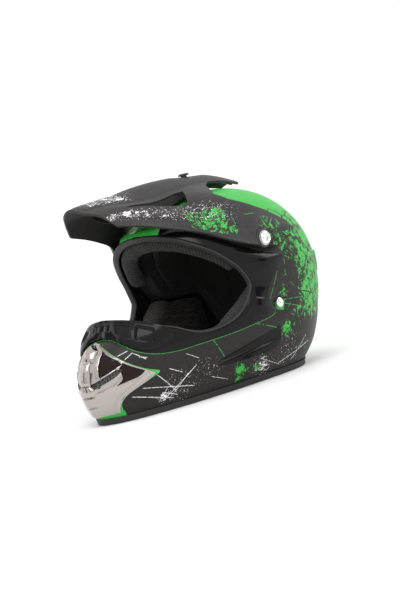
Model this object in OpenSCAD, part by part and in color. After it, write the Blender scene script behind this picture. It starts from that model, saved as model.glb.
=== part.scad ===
// Motocross helmet: a laminated shell with an eye port and a chin bar, its foam liners and pads,
// a peak on three screws, a chin guard, a goggle surround and a double-ring chin strap.
// +Z is up, the wearer faces -Y, the wearer's left is +X, and z = 0 is the underside of the rim trim.

/* [Shell] */
// Height of the crown above the rim
crown_height = 246; // [244:1:250]
// Thickness of the laminate
shell_wall = 4; // [3:0.5:5]
// Distance of the head's centre behind the origin
crown_y = 64.5; // [62:0.5:67]

/* [Liner] */
// Thickness of the impact foam
foam_thickness = 27; // [22:1:28]
// Thickness of the crown pad
pad_thickness = 8; // [6:1:10]

/* [Peak] */
// Thickness of the peak's moulding
peak_wall = 3; // [2.5:0.5:3.5]
// Diameter of the heads of the side screws
side_head_d = 16; // [14:0.5:18]

/* [Trim] */
// Height of the rim trim
rim_height = 7.5; // [7:0.5:9]
// Width of the chin strap's webbing
strap_width = 22; // [18:1:24]

/* [Hidden] */

// Colours
BLACK = [0.13, 0.13, 0.13];
GLOSS = [0.06, 0.06, 0.06];
GREEN = [0.2, 0.72, 0.25];
CHROME = [0.78, 0.76, 0.72];
SMOKE = [0.15, 0.07, 0.07];
CLOTH = [0.2, 0.19, 0.18];
FOAM = [0.1, 0.1, 0.1];

// The shell's sections below its widest level: height, half width, front reach, rear reach and
// the exponent of the front half's superellipse
belt_z = 125;
dome_h = crown_height - belt_z;
SECTIONS = [
    [4.5, 86.2, 239.4, 72.5, 1.95], [25, 98, 248, 96, 1.95], [48, 107.5, 250, 109, 1.9],
    [75, 114, 240, 119, 1.9], [94, 118, 220, 124, 1.95], [110, 120, 188, 126, 2],
    [belt_z, 121, 166, 127, 2]
];
shell_z0 = 4.5;
dome_side = 0.92;
dome_rise = 0.96;
rear_exponent = 2.1;

// Eye port: the heights of its lower and upper edges at each angle from straight ahead
port_end = 70;
PORT_LOW = [[0, 106], [20, 104], [30, 101], [42, 93], [50, 84], [58, 79], [65, 84], [port_end, 98]];
PORT_HIGH = [[0, 208], [20, 205], [34, 198], [48, 184], [60, 164], [66, 147], [port_end, 126]];

// The same edge as a closed line of [angle, height] on the wearer's left, from below to above,
// and the outer edge of the goggle surround beside it
EDGE = [
    [0, 106], [12, 105.5], [24, 103], [34, 99], [42, 93], [48, 86], [54, 80], [60, 79.5], [66, 85],
    [69.5, 96], [70.5, 110], [69.5, 126], [66, 146], [60, 163], [54, 175], [46, 186], [34, 198],
    [20, 205], [9, 207.5], [0, 208]
];
BORDER = [
    [0, 99], [10, 96], [20, 88], [29, 78], [37, 71], [45, 68], [54, 69], [62, 70], [72, 73],
    [82, 80], [79, 104], [81, 122], [91, 146], [78, 158], [68, 171], [56, 187], [38, 204],
    [22, 212], [10, 215], [0, 215]
];

bolt_y = crown_y - 26;
bolt_z = 172;
top_screw_y = crown_y - 20;
anchor_y = crown_y - 22;
anchor_z = 90;

// ---- Tables and curves ----

// Slope of column k at row i of a table whose first column is its argument
function slope(T, i, k) =
    i == len(T) - 1 ? 0
    : let(a = max(i - 1, 0), b = i + 1) (T[b][k] - T[a][k]) / (T[b][0] - T[a][0]);
function row_of(T, x, i = 0) = i >= len(T) - 2 || x < T[i + 1][0] ? i : row_of(T, x, i + 1);
// Column k of table T at x, on a smooth curve through the rows
function look(T, x, k = 1) =
    let(i = row_of(T, x), h = T[i + 1][0] - T[i][0], t = min(1, max(0, (x - T[i][0]) / h)))
    (2 * t ^ 3 - 3 * t ^ 2 + 1) * T[i][k] + (t ^ 3 - 2 * t ^ 2 + t) * h * slope(T, i, k)
    + (3 * t ^ 2 - 2 * t ^ 3) * T[i + 1][k] + (t ^ 3 - t ^ 2) * h * slope(T, i + 1, k);
// Point at t, from 0 to 1, on a smooth curve through the points P
function through(P, t) =
    let(n = len(P) - 1, s = min(n - 0.000001, max(0, t * n)), i = floor(s), f = s - i,
        a = P[max(i - 1, 0)], b = P[i], c = P[i + 1], d = P[min(i + 2, n)])
    0.5 * (2 * b + (c - a) * f + (2 * a - 5 * b + 4 * c - d) * f ^ 2
    + (3 * b - a - 3 * c + d) * f ^ 3);
function unit(v) = v / max(norm(v), 0.000001);
function mix(a, b, t) = a + (b - a) * t;
function span(a, b, n) = [for (i = [0:n]) mix(a, b, i / n)];
function power(c, e) = sign(c) * abs(c) ^ e;

// ---- The shell's surface ----

// Height at the share t of the way from height z up to the crown, in even steps over the dome
function dome_z(z, t) =
    let(a = asin(max(0, (z - belt_z) / dome_h) ^ (1 / dome_rise)))
    z < belt_z ? (t == 0 ? z : dome_z(belt_z, t)) : belt_z + dome_h * sin(mix(a, 90, t)) ^ dome_rise;

// Point of the shell at an angle from straight ahead (90 is the wearer's left) and a height,
// d inside the outer surface
function skin(a, z, d = 0) =
    let(up = z > belt_z,
        t = asin(min(1, max(0, (z - belt_z) / dome_h) ^ (1 / dome_rise))),
        f = up ? cos(t) ^ dome_side : 1,
        low = min(z, belt_z),
        front = cos(a) > 0,
        e = front ? 2 / look(SECTIONS, low, 4) : 2 / rear_exponent,
        reach = look(SECTIONS, low, front ? 2 : 3) - d,
        width = look(SECTIONS, low, 1) - d)
    [width * f * power(sin(a), e), crown_y - reach * f * power(cos(a), e),
     up ? belt_z + (z - belt_z) * (dome_h - d) / dome_h : z];
// Direction out of the shell there
function skin_normal(a, z) =
    let(s = 0.5) unit(cross(skin(a + s, z) - skin(a - s, z), skin(a, z + s) - skin(a, z - s)));
// Point d inside the surface along its true normal
function under(a, z, d) = skin(a, z) - d * skin_normal(a, z);

// ---- Solids between two grids of points ----

// Closed solid between the grids P (outside) and Q (inside), without the cells where keep is 0.
// With round set, the last column joins the first.
module sheet(P, Q, keep = undef, round = false) {
    nu = len(P);
    nv = len(P[0]);
    cu = round ? nu : nu - 1;
    on = function (i, j)
        let(k = round ? (i + cu) % cu : i)
        k < 0 || k >= cu || j < 0 || j >= nv - 1 ? false : is_undef(keep) || keep(k, j);
    at = function (i, j, deep) (deep ? nu * nv : 0) + (i % nu) * nv + j;
    quad = function (a, b, c, d) [[a, b, c], [a, c, d]];
    faces = [
        for (i = [0:cu - 1], j = [0:nv - 2]) if (on(i, j)) each concat(
            quad(at(i, j, false), at(i, j + 1, false), at(i + 1, j + 1, false), at(i + 1, j, false)),
            quad(at(i, j, true), at(i + 1, j, true), at(i + 1, j + 1, true), at(i, j + 1, true)),
            on(i - 1, j) ? []
            : quad(at(i, j, false), at(i, j, true), at(i, j + 1, true), at(i, j + 1, false)),
            on(i + 1, j) ? []
            : quad(at(i + 1, j, true), at(i + 1, j, false), at(i + 1, j + 1, false),
                   at(i + 1, j + 1, true)),
            on(i, j - 1) ? []
            : quad(at(i, j, true), at(i, j, false), at(i + 1, j, false), at(i + 1, j, true)),
            on(i, j + 1) || norm(P[i][j + 1] - P[(i + 1) % nu][j + 1]) < 0.001 ? []
            : quad(at(i, j + 1, false), at(i, j + 1, true), at(i + 1, j + 1, true),
                   at(i + 1, j + 1, false)))
    ];
    polyhedron(points = [each each P, each each Q], faces = faces, convexity = 8);
}

// Closed tube of the rings R, joined end to end or capped
module tube(R, loop = false) {
    n = len(R);
    m = len(R[0]);
    walls = [
        for (i = [0:loop ? n - 1 : n - 2], j = [0:m - 1])
            let(a = i * m + j, b = i * m + (j + 1) % m, c = ((i + 1) % n) * m + (j + 1) % m,
                d = ((i + 1) % n) * m + j)
            each [[a, b, c], [a, c, d]]
    ];
    ends = loop ? [] : [[for (j = [m - 1:-1:0]) j], [for (j = [0:m - 1]) (n - 1) * m + j]];
    polyhedron(points = [each each R], faces = concat(walls, ends), convexity = 8);
}

module both_sides() {
    children();
    mirror([1, 0, 0]) children();
}

// A sheet with its outside and inside swapped, for grids that run the other way
function flip(P) = [for (i = [len(P) - 1:-1:0]) P[i]];

// ---- Shell and its trims ----

// Columns of the shell's grid: close together beside the ends of the eye port
HALF_COLUMNS = [
    0, 8, 16, 24, 31, 38, 44, 50, 55, 60, 64, 67.5, port_end, 74, 80, 88, 96, 104, 113, 122,
    132, 142, 152, 161, 171
];
COLUMNS = concat(HALF_COLUMNS, [180], [for (i = [len(HALF_COLUMNS) - 1:-1:1]) 360 - HALF_COLUMNS[i]]);
function fold(a) = a > 180 ? 360 - a : a;
low_rows = 7;
side_rows = 5;
dome_rows = 9;
function port_low(a) = look(PORT_LOW, min(port_end, fold(a)));
function port_high(a) = look(PORT_HIGH, min(port_end, fold(a)));
function shell_row(a, j) =
    j <= low_rows ? mix(shell_z0, port_low(a), j / low_rows)
    : j <= low_rows + side_rows ? mix(port_low(a), port_high(a), (j - low_rows) / side_rows)
    : dome_z(port_high(a), (j - low_rows - side_rows) / dome_rows);
function shell_grid(d) =
    [for (a = COLUMNS) [for (j = [0:low_rows + side_rows + dome_rows]) skin(a, shell_row(a, j), d)]];

module outer_shell() {
    // The eye port and the mouth vent are the cells left out
    column_end = len([for (a = HALF_COLUMNS) if (a < port_end) a]);
    open = function (i, j)
        let(k = min(i, len(COLUMNS) - 1 - i))
        (k < column_end && j >= low_rows && j < low_rows + side_rows)
        || (k < 1 && j >= 3 && j < 5);
    color(BLACK) difference() {
        sheet(shell_grid(0), shell_grid(shell_wall), function (i, j) !open(i, j), true);
        side_holes(bolt_y, bolt_z, screw_hole);
        side_holes(anchor_y, anchor_z, rivet_r + 0.06);
        translate([0, top_screw_y, crown_height - 40]) cylinder(r = screw_hole, h = 60, $fn = 32);
    }
}

module side_holes(y, z, r) {
    translate([-160, y, z]) rotate([0, 90, 0]) cylinder(r = r, h = 320, $fn = 32);
}

// Sweep of the profile [across, deep] along the closed edge of the eye port: across is away from
// the opening, and deep is into the helmet
function edge_at(t, P = EDGE) =
    let(s = t < 0.5 ? t * 2 : 2 - t * 2, p = through(P, s)) [t < 0.5 ? p[0] : -p[0], p[1]];
function edge_frame(t) =
    let(p = edge_at(t), q = edge_at(t < 0.996 ? t + 0.004 : t + 0.004 - 1),
        o = edge_at(t > 0.004 ? t - 0.004 : t - 0.004 + 1),
        n = skin_normal(p[0], p[1]),
        run = unit(skin(q[0], q[1]) - skin(o[0], o[1])))
    [skin(p[0], p[1]), unit(cross(run, n)), n];
function edge_ring(t, profile) =
    let(f = edge_frame(t)) [for (s = profile) f[0] + f[1] * s[0] - f[2] * s[1]];

module eyeport_trim() {
    profile = [[-0.4, -1.6], [-2.6, -1.9], [-4.2, -0.6], [-4.6, 3.5], [-3.6, 7.4], [-0.4, 7.6]];
    color(BLACK) tube([for (t = [0:79]) edge_ring((t + 0.5) / 80, profile)], true);
}

module rim_trim() {
    // A channel that grips the laminate's lower edge
    gap = 0.5;
    outer = 2.2;
    inner = shell_wall + 2.4;
    profile = [
        [-outer, 2], [-outer, rim_height - 1], [-outer + 0.8, rim_height], [-gap, rim_height],
        [-gap, shell_z0 - gap], [shell_wall + gap, shell_z0 - gap], [shell_wall + gap, rim_height],
        [inner, rim_height], [inner, 0], [-outer + 1.8, 0]
    ];
    color(BLACK) tube([
        for (a = COLUMNS) [for (p = profile)
            let(q = skin(a, max(shell_z0, p[1]), p[0])) [q[0], q[1], p[1]]]
    ], true);
}

// The goggle surround: a thin moulding from the eye port's edge to its own outer border
module eyeport_surround() {
    steps = 72;
    across = [0, 0.2, 0.55, 0.85, 1];
    rise = [0.5, 1.8, 1.6, 1, 0.4];
    P = function (lift) [
        for (i = [0:steps - 1])
            let(t = (i + 0.5) / steps, e = edge_at(t), b = edge_at(t, BORDER))
            [for (k = [0:4]) let(p = mix(e, b, across[k])) under(p[0], p[1], -0.5 - lift * rise[k])]
    ];
    color(GLOSS) difference() {
        sheet(P(1), P(0), undef, true);
        side_holes(bolt_y, bolt_z, side_head_d / 2 + 2);
    }
}

// The raised deflector on top of the chin bar, with recesses along it
module chin_deflector() {
    hood = function (a) 7 * max(0, 1 - (a / 30) ^ 2) ^ 1.5;
    lift = function (a, t) 3.6 + (7.5 * (1 - abs(a / 42) ^ 4 * 0.7) + hood(a)) * t;
    cols = span(-42, 42, 20);
    rows = [0, 0.25, 0.5, 0.75, 1];
    low = function (a) look([[0, 98.6], [10, 95.6], [20, 87.8], [29, 79.5], [36, 76], [42, 80]], abs(a));
    high = function (a) port_low(abs(a)) - 1.2;
    P = [for (a = cols) [for (t = rows) under(a, mix(low(a), high(a), t), -lift(a, t))]];
    Q = [for (a = cols) [for (t = rows) under(a, mix(low(a), high(a), t), -2.4)]];
    color(GLOSS) sheet(flip(P), flip(Q));
}

// ---- Chin guard ----

// Half width of the guard, as an angle, at each height
GUARD = [
    [13, 17], [24, 19.5], [32, 23.5], [38, 29], [44, 34], [50, 36.5], [56, 33], [63, 28], [70, 23],
    [78, 17], [86, 10], [93, 4]
];
GUARD_ROWS = [13, 19, 25, 31, 37, 42, 46, 50, 54, 58, 63, 68, 73, 78, 83, 88, 93];
GUARD_COLUMNS = [-1, -0.86, -0.7, -0.54, -0.38, -0.24, -0.12, 0, 0.12, 0.24, 0.38, 0.54, 0.7, 0.86, 1];
guard_back = 0.6;
function guard_point(s, z, d) = under(s * look(GUARD, z), z, d);
// How far the guard stands out: a keel along the middle and a raised border
function guard_lift(s) = 3.2 + 3.4 * (1 - abs(s)) ^ 2;
module guard_part(cols, rows, lift, back, keep = undef) {
    P = [for (s = cols) [for (z = rows) guard_point(s, z, -lift(s))]];
    Q = [for (s = cols) [for (z = rows) guard_point(s, z, -back)]];
    sheet(flip(P), flip(Q), keep);
}
module chin_guard() {
    // Two windows on each side, and a slot for the mesh below them
    open = function (i, j)
        let(k = min(i, 13 - i))
        (k >= 1 && k <= 3 && j >= 7 && j <= 9) || (k >= 2 && k <= 5 && j >= 11 && j <= 13)
        || (k >= 4 && k <= 5 && j >= 5 && j <= 8);
    color(CHROME) guard_part(GUARD_COLUMNS, GUARD_ROWS, function (s) guard_lift(s), guard_back,
                             function (i, j) !open(i, j));
}
// Smoked windows that lie behind the guard's openings
module chin_guard_lenses() {
    color(SMOKE) both_sides() {
        guard_part(span(0.4, 0.84, 4), [50.6, 54, 58, 62.4], function (s) 3, 1);
        guard_part(span(0.14, 0.68, 5), [68.6, 73, 78, 82.4], function (s) 3.2, 1);
    }
}
module chin_guard_mesh() {
    color(SMOKE) both_sides()
        guard_part(span(0.14, 0.36, 3), [42.6, 46, 50, 54, 57.4], function (s) 3, 1);
}
// Row of domes down the guard's keel
module chin_guard_spine() {
    color(CHROME) for (z = [[84, 7], [68, 8.5], [50, 9.5], [32, 8.5]])
        translate(guard_point(0, z[0], -guard_lift(0) - 0.3))
            rotate([90 - atan2(skin_normal(0, z[0])[2], -skin_normal(0, z[0])[1]), 0, 0]) {
                cylinder(r = z[1], h = 1.6, $fn = 40);
                translate([0, 0, 1.6]) cylinder(r1 = z[1], r2 = z[1] - 3, h = 1.8, $fn = 40);
            }
}
module chin_guard_screws() {
    color(CHROME) for (s = [-0.92, 0.92], z = [22])
        let(p = guard_point(s, z, 0), n = skin_normal(s * look(GUARD, z), z))
        translate(p - n * 3.6) rotate([0, acos(n[2]), atan2(n[1], n[0])])
            cylinder(r = 2, h = 3.4, $fn = 24);
}

// ---- Vents ----

// Scoop low on the side: a raised lip over a recess
module side_vent() {
    cols = span(60, 84, 10);
    top = function (a) mix(41, 62, ((a - 60) / 24) ^ 0.9);
    low = function (a) mix(36, 38, (a - 60) / 24);
    lift = function (s, t) 0.9 + 5.2 * (s * (1.02 - s) * 4) ^ 0.6 * (1 - t);
    rows = span(0, 1, 5);
    P = [for (i = [0:10]) [for (t = rows)
        under(cols[i], mix(low(cols[i]), top(cols[i]), t), -lift(i / 10, t))]];
    Q = [for (i = [0:10]) [for (t = rows) under(cols[i], mix(low(cols[i]), top(cols[i]), t), -0.3)]];
    color(GLOSS) sheet(flip(P), flip(Q));
}
module side_vent_left() side_vent();
module side_vent_right() mirror([1, 0, 0]) side_vent();

// Exhaust cover that wraps round the back
module rear_vent() {
    cols = span(134, 226, 20);
    rows = span(112, 138, 6);
    lift = function (i, j) 0.8 + 5 * max(0, sin(9 * i)) ^ 0.4 * (j / 6) ^ 0.8 * (j == 6 ? 0.8 : 1);
    P = [for (i = [0:20]) [for (j = [0:6]) under(cols[i], rows[j], -lift(i, j))]];
    Q = [for (i = [0:20]) [for (j = [0:6]) under(cols[i], rows[j], -0.3)]];
    color(GREEN) sheet(flip(P), flip(Q));
}

// Filter foam behind the mouth vent, held in the chin foam's opening
module mouth_vent_foam() {
    color(FOAM) shell_patch(span(-6, 6, 4), function (a, t) mix(46, 71.5, t), 3, 5.2, 11);
}

// Solid between two depths under the shell over the angles and a run of heights
module shell_patch(cols, height, rows, d0, d1) {
    P = [for (a = cols) [for (j = [0:rows]) under(a, height(a, j / rows), d0)]];
    Q = [for (a = cols) [for (j = [0:rows]) under(a, height(a, j / rows), d1)]];
    sheet(flip(P), flip(Q));
}

// ---- Liners and pads ----

foam_d0 = shell_wall + 0.8;
foam_d1 = foam_d0 + foam_thickness;
pad_d0 = foam_d1 + 2.6;
pad_d1 = pad_d0 + pad_thickness;
FOAM_LOW = [
    [0, 223], [20, 221], [34, 215], [48, 204], [60, 188], [67, 172], [73, 150], [78, 130], [84, 118],
    [96, 116], [112, 112], [120, 76], [128, 52], [150, 46], [180, 46]
];
PAD_LOW = [
    [0, 225], [20, 224], [34, 219], [48, 210], [60, 196], [70, 176], [78, 150], [86, 126], [98, 120],
    [112, 116], [122, 84], [132, 66], [155, 62], [180, 62]
];
// A dome-shaped liner between two depths, whose lower edge follows a table
module dome_liner(low, d0, d1, columns, rows) {
    P = function (d) [
        for (a = columns) let(z0 = look(low, fold(a))) [for (j = [0:rows])
            skin(a, z0 < belt_z && j <= 3 ? mix(z0, belt_z + 1, j / 3)
                 : z0 < belt_z ? dome_z(belt_z + 1, (j - 3) / (rows - 3)) : dome_z(z0, j / rows), d)]
    ];
    sheet(P(d0), P(d1), undef, true);
}
module impact_liner() {
    color(FOAM) difference() {
        dome_liner(FOAM_LOW, foam_d0, foam_d1, COLUMNS, 10);
        // Pockets for the peak's nuts
        both_sides() translate([nut_x - 8, bolt_y, bolt_z]) rotate([0, 90, 0])
            cylinder(r = 10, h = 30, $fn = 40);
        translate([0, top_screw_y, crown_height - 18]) cylinder(r = 10, h = 30, $fn = 40);
    }
}
module crown_pad() {
    color(CLOTH) dome_liner(PAD_LOW, pad_d0, pad_d1, [for (i = [0:2:len(COLUMNS) - 1]) COLUMNS[i]], 9);
}
// Padded strip along the upper edge of the eye port
module brow_pad() {
    profile = [
        [0, 8.2], [-4, 9.5], [-5.5, 14], [-4, 24], [0, 32],
        [5, 34], [10.5, 30], [10.5, 9], [8, 8.2], [3, 8.2]
    ];
    color(CLOTH) tube([for (i = [0:40]) edge_ring(mix(0.315, 0.685, i / 40), profile)]);
}
// Cheek pad: a thick block whose front face shows in the eye port. Its outer face keeps clear of
// the chin strap, which swings between it and the shell.
CHEEK_OUTER = [[30, 24], [45, 20.5], [60, 17.5], [78, 14], [90, 13], [112, 13]];
CHEEK_TOP = [[70, 96], [75, 120], [80, 117], [84, 112], [96, 110], [110, 105]];
module cheek_pad() {
    cols = span(60, 110, 9);
    rows = 7;
    height = function (a, j) mix(30, a < 70 ? port_low(a) - 4 : look(CHEEK_TOP, a), j / rows);
    bulge = function (i, j) sin(180 * (i + 0.8) / 10.6) * sin(180 * (j + 0.9) / (rows + 1.8));
    outer = function (z) look(CHEEK_OUTER, z);
    inner = function (i, j, z) max(outer(z) + 8, 23 + 26 * bulge(i, j) ^ 0.45);
    P = [for (i = [0:9]) [for (j = [0:rows])
        let(z = height(cols[i], j)) under(cols[i], z, outer(z))]];
    Q = [for (i = [0:9]) [for (j = [0:rows])
        let(z = height(cols[i], j)) under(cols[i], z, inner(i, j, z))]];
    color(CLOTH) sheet(flip(P), flip(Q));
}
module cheek_pad_left() cheek_pad();
module cheek_pad_right() mirror([1, 0, 0]) cheek_pad();

// Padded roll round the nape
module neck_roll() {
    profile = [for (i = [0:9]) [18 + 12 * cos(36 * i), 29 + 12.5 * sin(36 * i)]];
    color(CLOTH) tube([for (i = [0:24])
        let(a = 124 + 112 * i / 24)
        [for (p = profile) let(q = skin(a, p[1], p[0])) [q[0], q[1], p[1]]]]);
}
module chin_foam() {
    cols = span(-50, 50, 20);
    rows = 6;
    keep = function (i, j) !((i >= 8 && i <= 11) && (j == 2 || j == 3));
    P = [for (a = cols) [for (j = [0:rows]) under(a, mix(16, port_low(abs(a)) - 5, j / rows), 4.8)]];
    Q = [for (a = cols) [for (j = [0:rows]) under(a, mix(16, port_low(abs(a)) - 5, j / rows), 18)]];
    color(FOAM) sheet(flip(P), flip(Q), keep);
}
// Press studs that hold the cheek pads
module liner_snaps() {
    color(BLACK) both_sides() for (s = [[76, 50], [100, 50], [90, 84]])
        let(n = skin_normal(s[0], s[1]), depth = look(CHEEK_OUTER, s[1]) - 1.4)
        translate(under(s[0], s[1], depth)) rotate([0, acos(n[2]), atan2(n[1], n[0])])
            cylinder(r = 6, h = depth - 5.5, $fn = 32);
}

// ---- Peak ----

// Four rails along the peak, from its front edge to its ends: the crest, the spine's edge, the
// upper edge of the side arm and its lower edge. The second value is measured from the head's
// centre. The other half mirrors them.
CREST = [
    [0, -216, 257], [0, -179, 260], [0, -147, 262], [0, -114, 266], [0, -74, 268], [0, -34, 267],
    [0, 13, 262], [0, 60, 245]
];
SPINE_EDGE = [
    [16, -213, 251], [21, -179, 252], [26, -149, 249], [29, -116, 248], [29, -74, 251],
    [28, -34, 253], [24, 12, 252], [17, 56, 243]
];
ARM_TOP = [
    [34, -199, 242], [37, -168, 243], [42, -142, 241], [50, -112, 235], [56, -82, 231],
    [73, -50, 230], [100, -12, 213], [118, 16, 188]
];
ARM_LOW = [
    [46, -186, 226], [54, -158, 220], [61, -132, 212], [71, -107, 203], [90, -88, 192],
    [107, -71, 179], [119, -46, 167], [123, -22, 160]
];
PEAK_ALONG = 28;
function peak_point(u, v) =
    let(m = abs(u), rail = [through(ARM_LOW, v), through(ARM_TOP, v), through(SPINE_EDGE, v),
        through(CREST, v)],
        s = concat(rail, [for (k = [2:-1:0]) [-rail[k][0], rail[k][1], rail[k][2]]]),
        p = through(s, (1 - u) / 2),
        // The arm's end is rounded
        e = m > 2 / 3 ? 15 * max(0, sin(540 * (m - 2 / 3))) ^ 0.8 * max(0, v - 0.85) / 0.15 : 0)
    [p[0], p[1] + crown_y + e * 0.9, p[2] - e * 0.35];
PEAK_U = [
    1, 0.93, 0.85, 0.77, 2 / 3, 0.55, 0.44, 1 / 3, 0.22, 0.11, 0, -0.11, -0.22, -1 / 3, -0.44, -0.55,
    -2 / 3, -0.77, -0.85, -0.93, -1
];
function peak_normal(u, v) =
    let(s = 0.01, a = min(1, u + s), b = max(-1, u - s), c = min(1, v + s), d = max(0, v - s))
    unit(cross(peak_point(b, v) - peak_point(a, v), peak_point(u, c) - peak_point(u, d)));

// Where the peak is open: the long slots beside the spine, and behind the webs
function peak_open(k, j) =
    let(m = k < 10 ? k : 19 - k)
    (m >= 4 && m < 7) && ((j >= 9 && j < 16) || j >= 21);

module visor() {
    P = [for (u = PEAK_U) [for (j = [0:PEAK_ALONG]) peak_point(u, j / PEAK_ALONG)]];
    Q = [for (u = PEAK_U) [for (j = [0:PEAK_ALONG])
        peak_point(u, j / PEAK_ALONG) - peak_wall * peak_normal(u, j / PEAK_ALONG)]];
    color(BLACK) difference() {
        union() {
            sheet(P, Q, function (k, j) !peak_open(k, j));
            both_sides() translate([boss_in, bolt_y, bolt_z]) rotate([0, 90, 0])
                cylinder(r = 12, h = boss_out - boss_in, $fn = 48);
        }
        side_holes(bolt_y, bolt_z, screw_hole);
        // Seats for the washers and the screws' heads
        both_sides() translate([boss_out, bolt_y, bolt_z]) rotate([0, 90, 0])
            cylinder(r = side_head_d / 2 + 2.4, h = 20, $fn = 64);
        // Slot that slides under the top screw as the peak tilts
        for (y = [-slot_front, slot_back]) translate([0, top_screw_y + y, 250])
            cylinder(r = screw_hole + 0.5, h = 30, $fn = 32);
        translate([-screw_hole - 0.5, top_screw_y - slot_front, 250])
            cube([2 * screw_hole + 1, slot_front + slot_back, 30]);
    }
}

// Screws, their washers and their nuts
screw_r = 4;
screw_hole = screw_r + 0.06;
boss_in = 115.5;
boss_out = 121.5;
slot_front = 5;
slot_back = 10.8;
washer_t = 1;
head_x = boss_out + 0.4 + washer_t;
nut_x = 107;
spine_z = 268.6;
module screw(head_r, length) {
    // The head's underside is at the origin and the shaft goes down
    difference() {
        union() {
            cylinder(r = head_r, h = 1.6, $fn = 64);
            translate([0, 0, 1.6]) cylinder(r1 = head_r, r2 = head_r - 1.4, h = 1.4, $fn = 64);
            translate([0, 0, -length]) cylinder(r = screw_r, h = length + 1, $fn = 48);
        }
        // Coin slot
        translate([-0.8, -head_r * 0.62, 1.8]) cube([1.6, head_r * 1.24, 3]);
    }
}
module visor_screw_left() {
    color(CHROME) translate([head_x, bolt_y, bolt_z]) rotate([0, 90, 0])
        screw(side_head_d / 2, head_x - nut_x + 3);
}
module visor_screw_right() mirror([1, 0, 0]) visor_screw_left();
module visor_screw_top() {
    color(BLACK) translate([0, top_screw_y, spine_z + 1.9]) screw(7, spine_z - crown_height + 14.5);
}
module visor_washers() {
    color(CHROME) both_sides() translate([boss_out + 0.2, bolt_y, bolt_z]) rotate([0, 90, 0])
        difference() {
            cylinder(r = side_head_d / 2 + 1.4, h = washer_t, $fn = 64);
            translate([0, 0, -1]) cylinder(r = screw_hole, h = 4, $fn = 48);
        }
}
module flanged_nut() {
    difference() {
        union() {
            cylinder(r = 8, h = 1.4, $fn = 48);
            translate([0, 0, -4]) cylinder(r = 6, h = 4.5, $fn = 48);
        }
        translate([0, 0, -6]) cylinder(r = screw_hole, h = 12, $fn = 48);
    }
}
module visor_nuts() {
    color(CHROME) {
        both_sides() translate([nut_x, bolt_y, bolt_z]) rotate([0, 90, 0]) flanged_nut();
        translate([0, top_screw_y, crown_height - 6.6]) flanged_nut();
    }
}
// Sleeve that carries the spine above the crown
module visor_spacer() {
    z0 = crown_height + 0.3;
    z1 = 262.5;
    color(BLACK) translate([0, top_screw_y, z0]) difference() {
        cylinder(r = 7.5, h = z1 - z0, $fn = 48);
        translate([0, 0, -1]) cylinder(r = screw_hole, h = 40, $fn = 48);
    }
}

// ---- Chin strap ----

// Height and distance from the middle along the webbing, from the anchor to under the chin
STRAP = [
    [108, 82], [106, 74], [101, 64], [95.5, 52], [88.5, 38], [80, 26], [68, 18], [50, 14], [26, 12.5],
    [2, 12]
];
strap_t = 1.8;
plate_x = 106.9;
module webbing(path) {
    n = len(path) - 1;
    color(CLOTH) tube([for (i = [0:2 * n])
        let(t = i / (2 * n), p = through(path, t),
            d = unit(through(path, min(1, t + 0.01)) - through(path, max(0, t - 0.01))),
            s = [d[1], -d[0]] * strap_t / 2, w = strap_width / 2)
        [[p[0] + s[0], anchor_y - w, p[1] + s[1]], [p[0] + s[0], anchor_y + w, p[1] + s[1]],
         [p[0] - s[0], anchor_y + w, p[1] - s[1]], [p[0] - s[0], anchor_y - w, p[1] - s[1]]]]);
}
module strap_left() webbing([for (i = [0:8]) STRAP[i]]);
module strap_right() mirror([1, 0, 0]) webbing(concat(STRAP, [[-20, 14.6], [-38, 15.8]]));
// Padded sleeve on the webbing under the chin
module strap_pad() {
    ring = [for (i = [0:11]) [cos(30 * i), sin(30 * i)]];
    color(CLOTH) tube([for (s = [[-62, 0.5], [-58, 0.9], [-46, 1], [-30, 1], [-14, 1], [-2, 0.9],
                              [2, 0.5]])
        let(z = look([[0, 12], [26, 12.5], [50, 14], [68, 18]], max(0, -s[0])))
        [for (c = ring) [s[0], anchor_y + power(c[0], 0.5) * 14 * s[1], z + power(c[1], 0.7) * 4 * s[1]]]
    ]);
}
module strap_anchor() {
    color(CHROME) difference() {
        translate([plate_x, anchor_y, anchor_z]) rotate([0, 90, 0]) {
            cylinder(r = 11, h = 1.4, $fn = 48);
            translate([0, -11, 0]) cube([13, 22, 1.4]);
        }
        translate([plate_x - 3, anchor_y, anchor_z]) rotate([0, 90, 0])
            cylinder(r = rivet_r + 0.06, h = 8, $fn = 48);
    }
}
rivet_r = 2.5;
rivet_head_x = 117.6;
module strap_anchor_left() strap_anchor();
module strap_anchor_right() mirror([1, 0, 0]) strap_anchor();
module strap_rivet_left() {
    color(CHROME) translate([0, anchor_y, anchor_z]) {
        translate([rivet_head_x, 0, 0]) rotate([0, 90, 0]) cylinder(r1 = 6, r2 = 5, h = 1.8, $fn = 48);
        translate([plate_x - 2, 0, 0]) rotate([0, 90, 0])
            cylinder(r = rivet_r, h = rivet_head_x - plate_x + 3, $fn = 48);
        translate([plate_x - 2.2, 0, 0]) rotate([0, 90, 0]) cylinder(r = 5, h = 1.4, $fn = 48);
    }
}
module strap_rivet_right() mirror([1, 0, 0]) strap_rivet_left();
// Two rings that the webbing is threaded through
module d_rings() {
    color(CHROME) for (x = [34, 41])
        translate([x, anchor_y, 14.2]) rotate([0, 28, 0]) {
            rotate([0, 0, -90]) rotate_extrude(angle = 180, $fn = 48)
                translate([12.6, 0]) circle(r = 1.3, $fn = 16);
            translate([0, 12.6, 0]) rotate([90, 0, 0]) cylinder(r = 1.3, h = 25.2, $fn = 16);
        }
}
module strap_snap() {
    color(BLACK) translate([30, anchor_y, 17]) cylinder(r = 5, h = 3, $fn = 32);
}

// ---- Nodes ----

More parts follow.
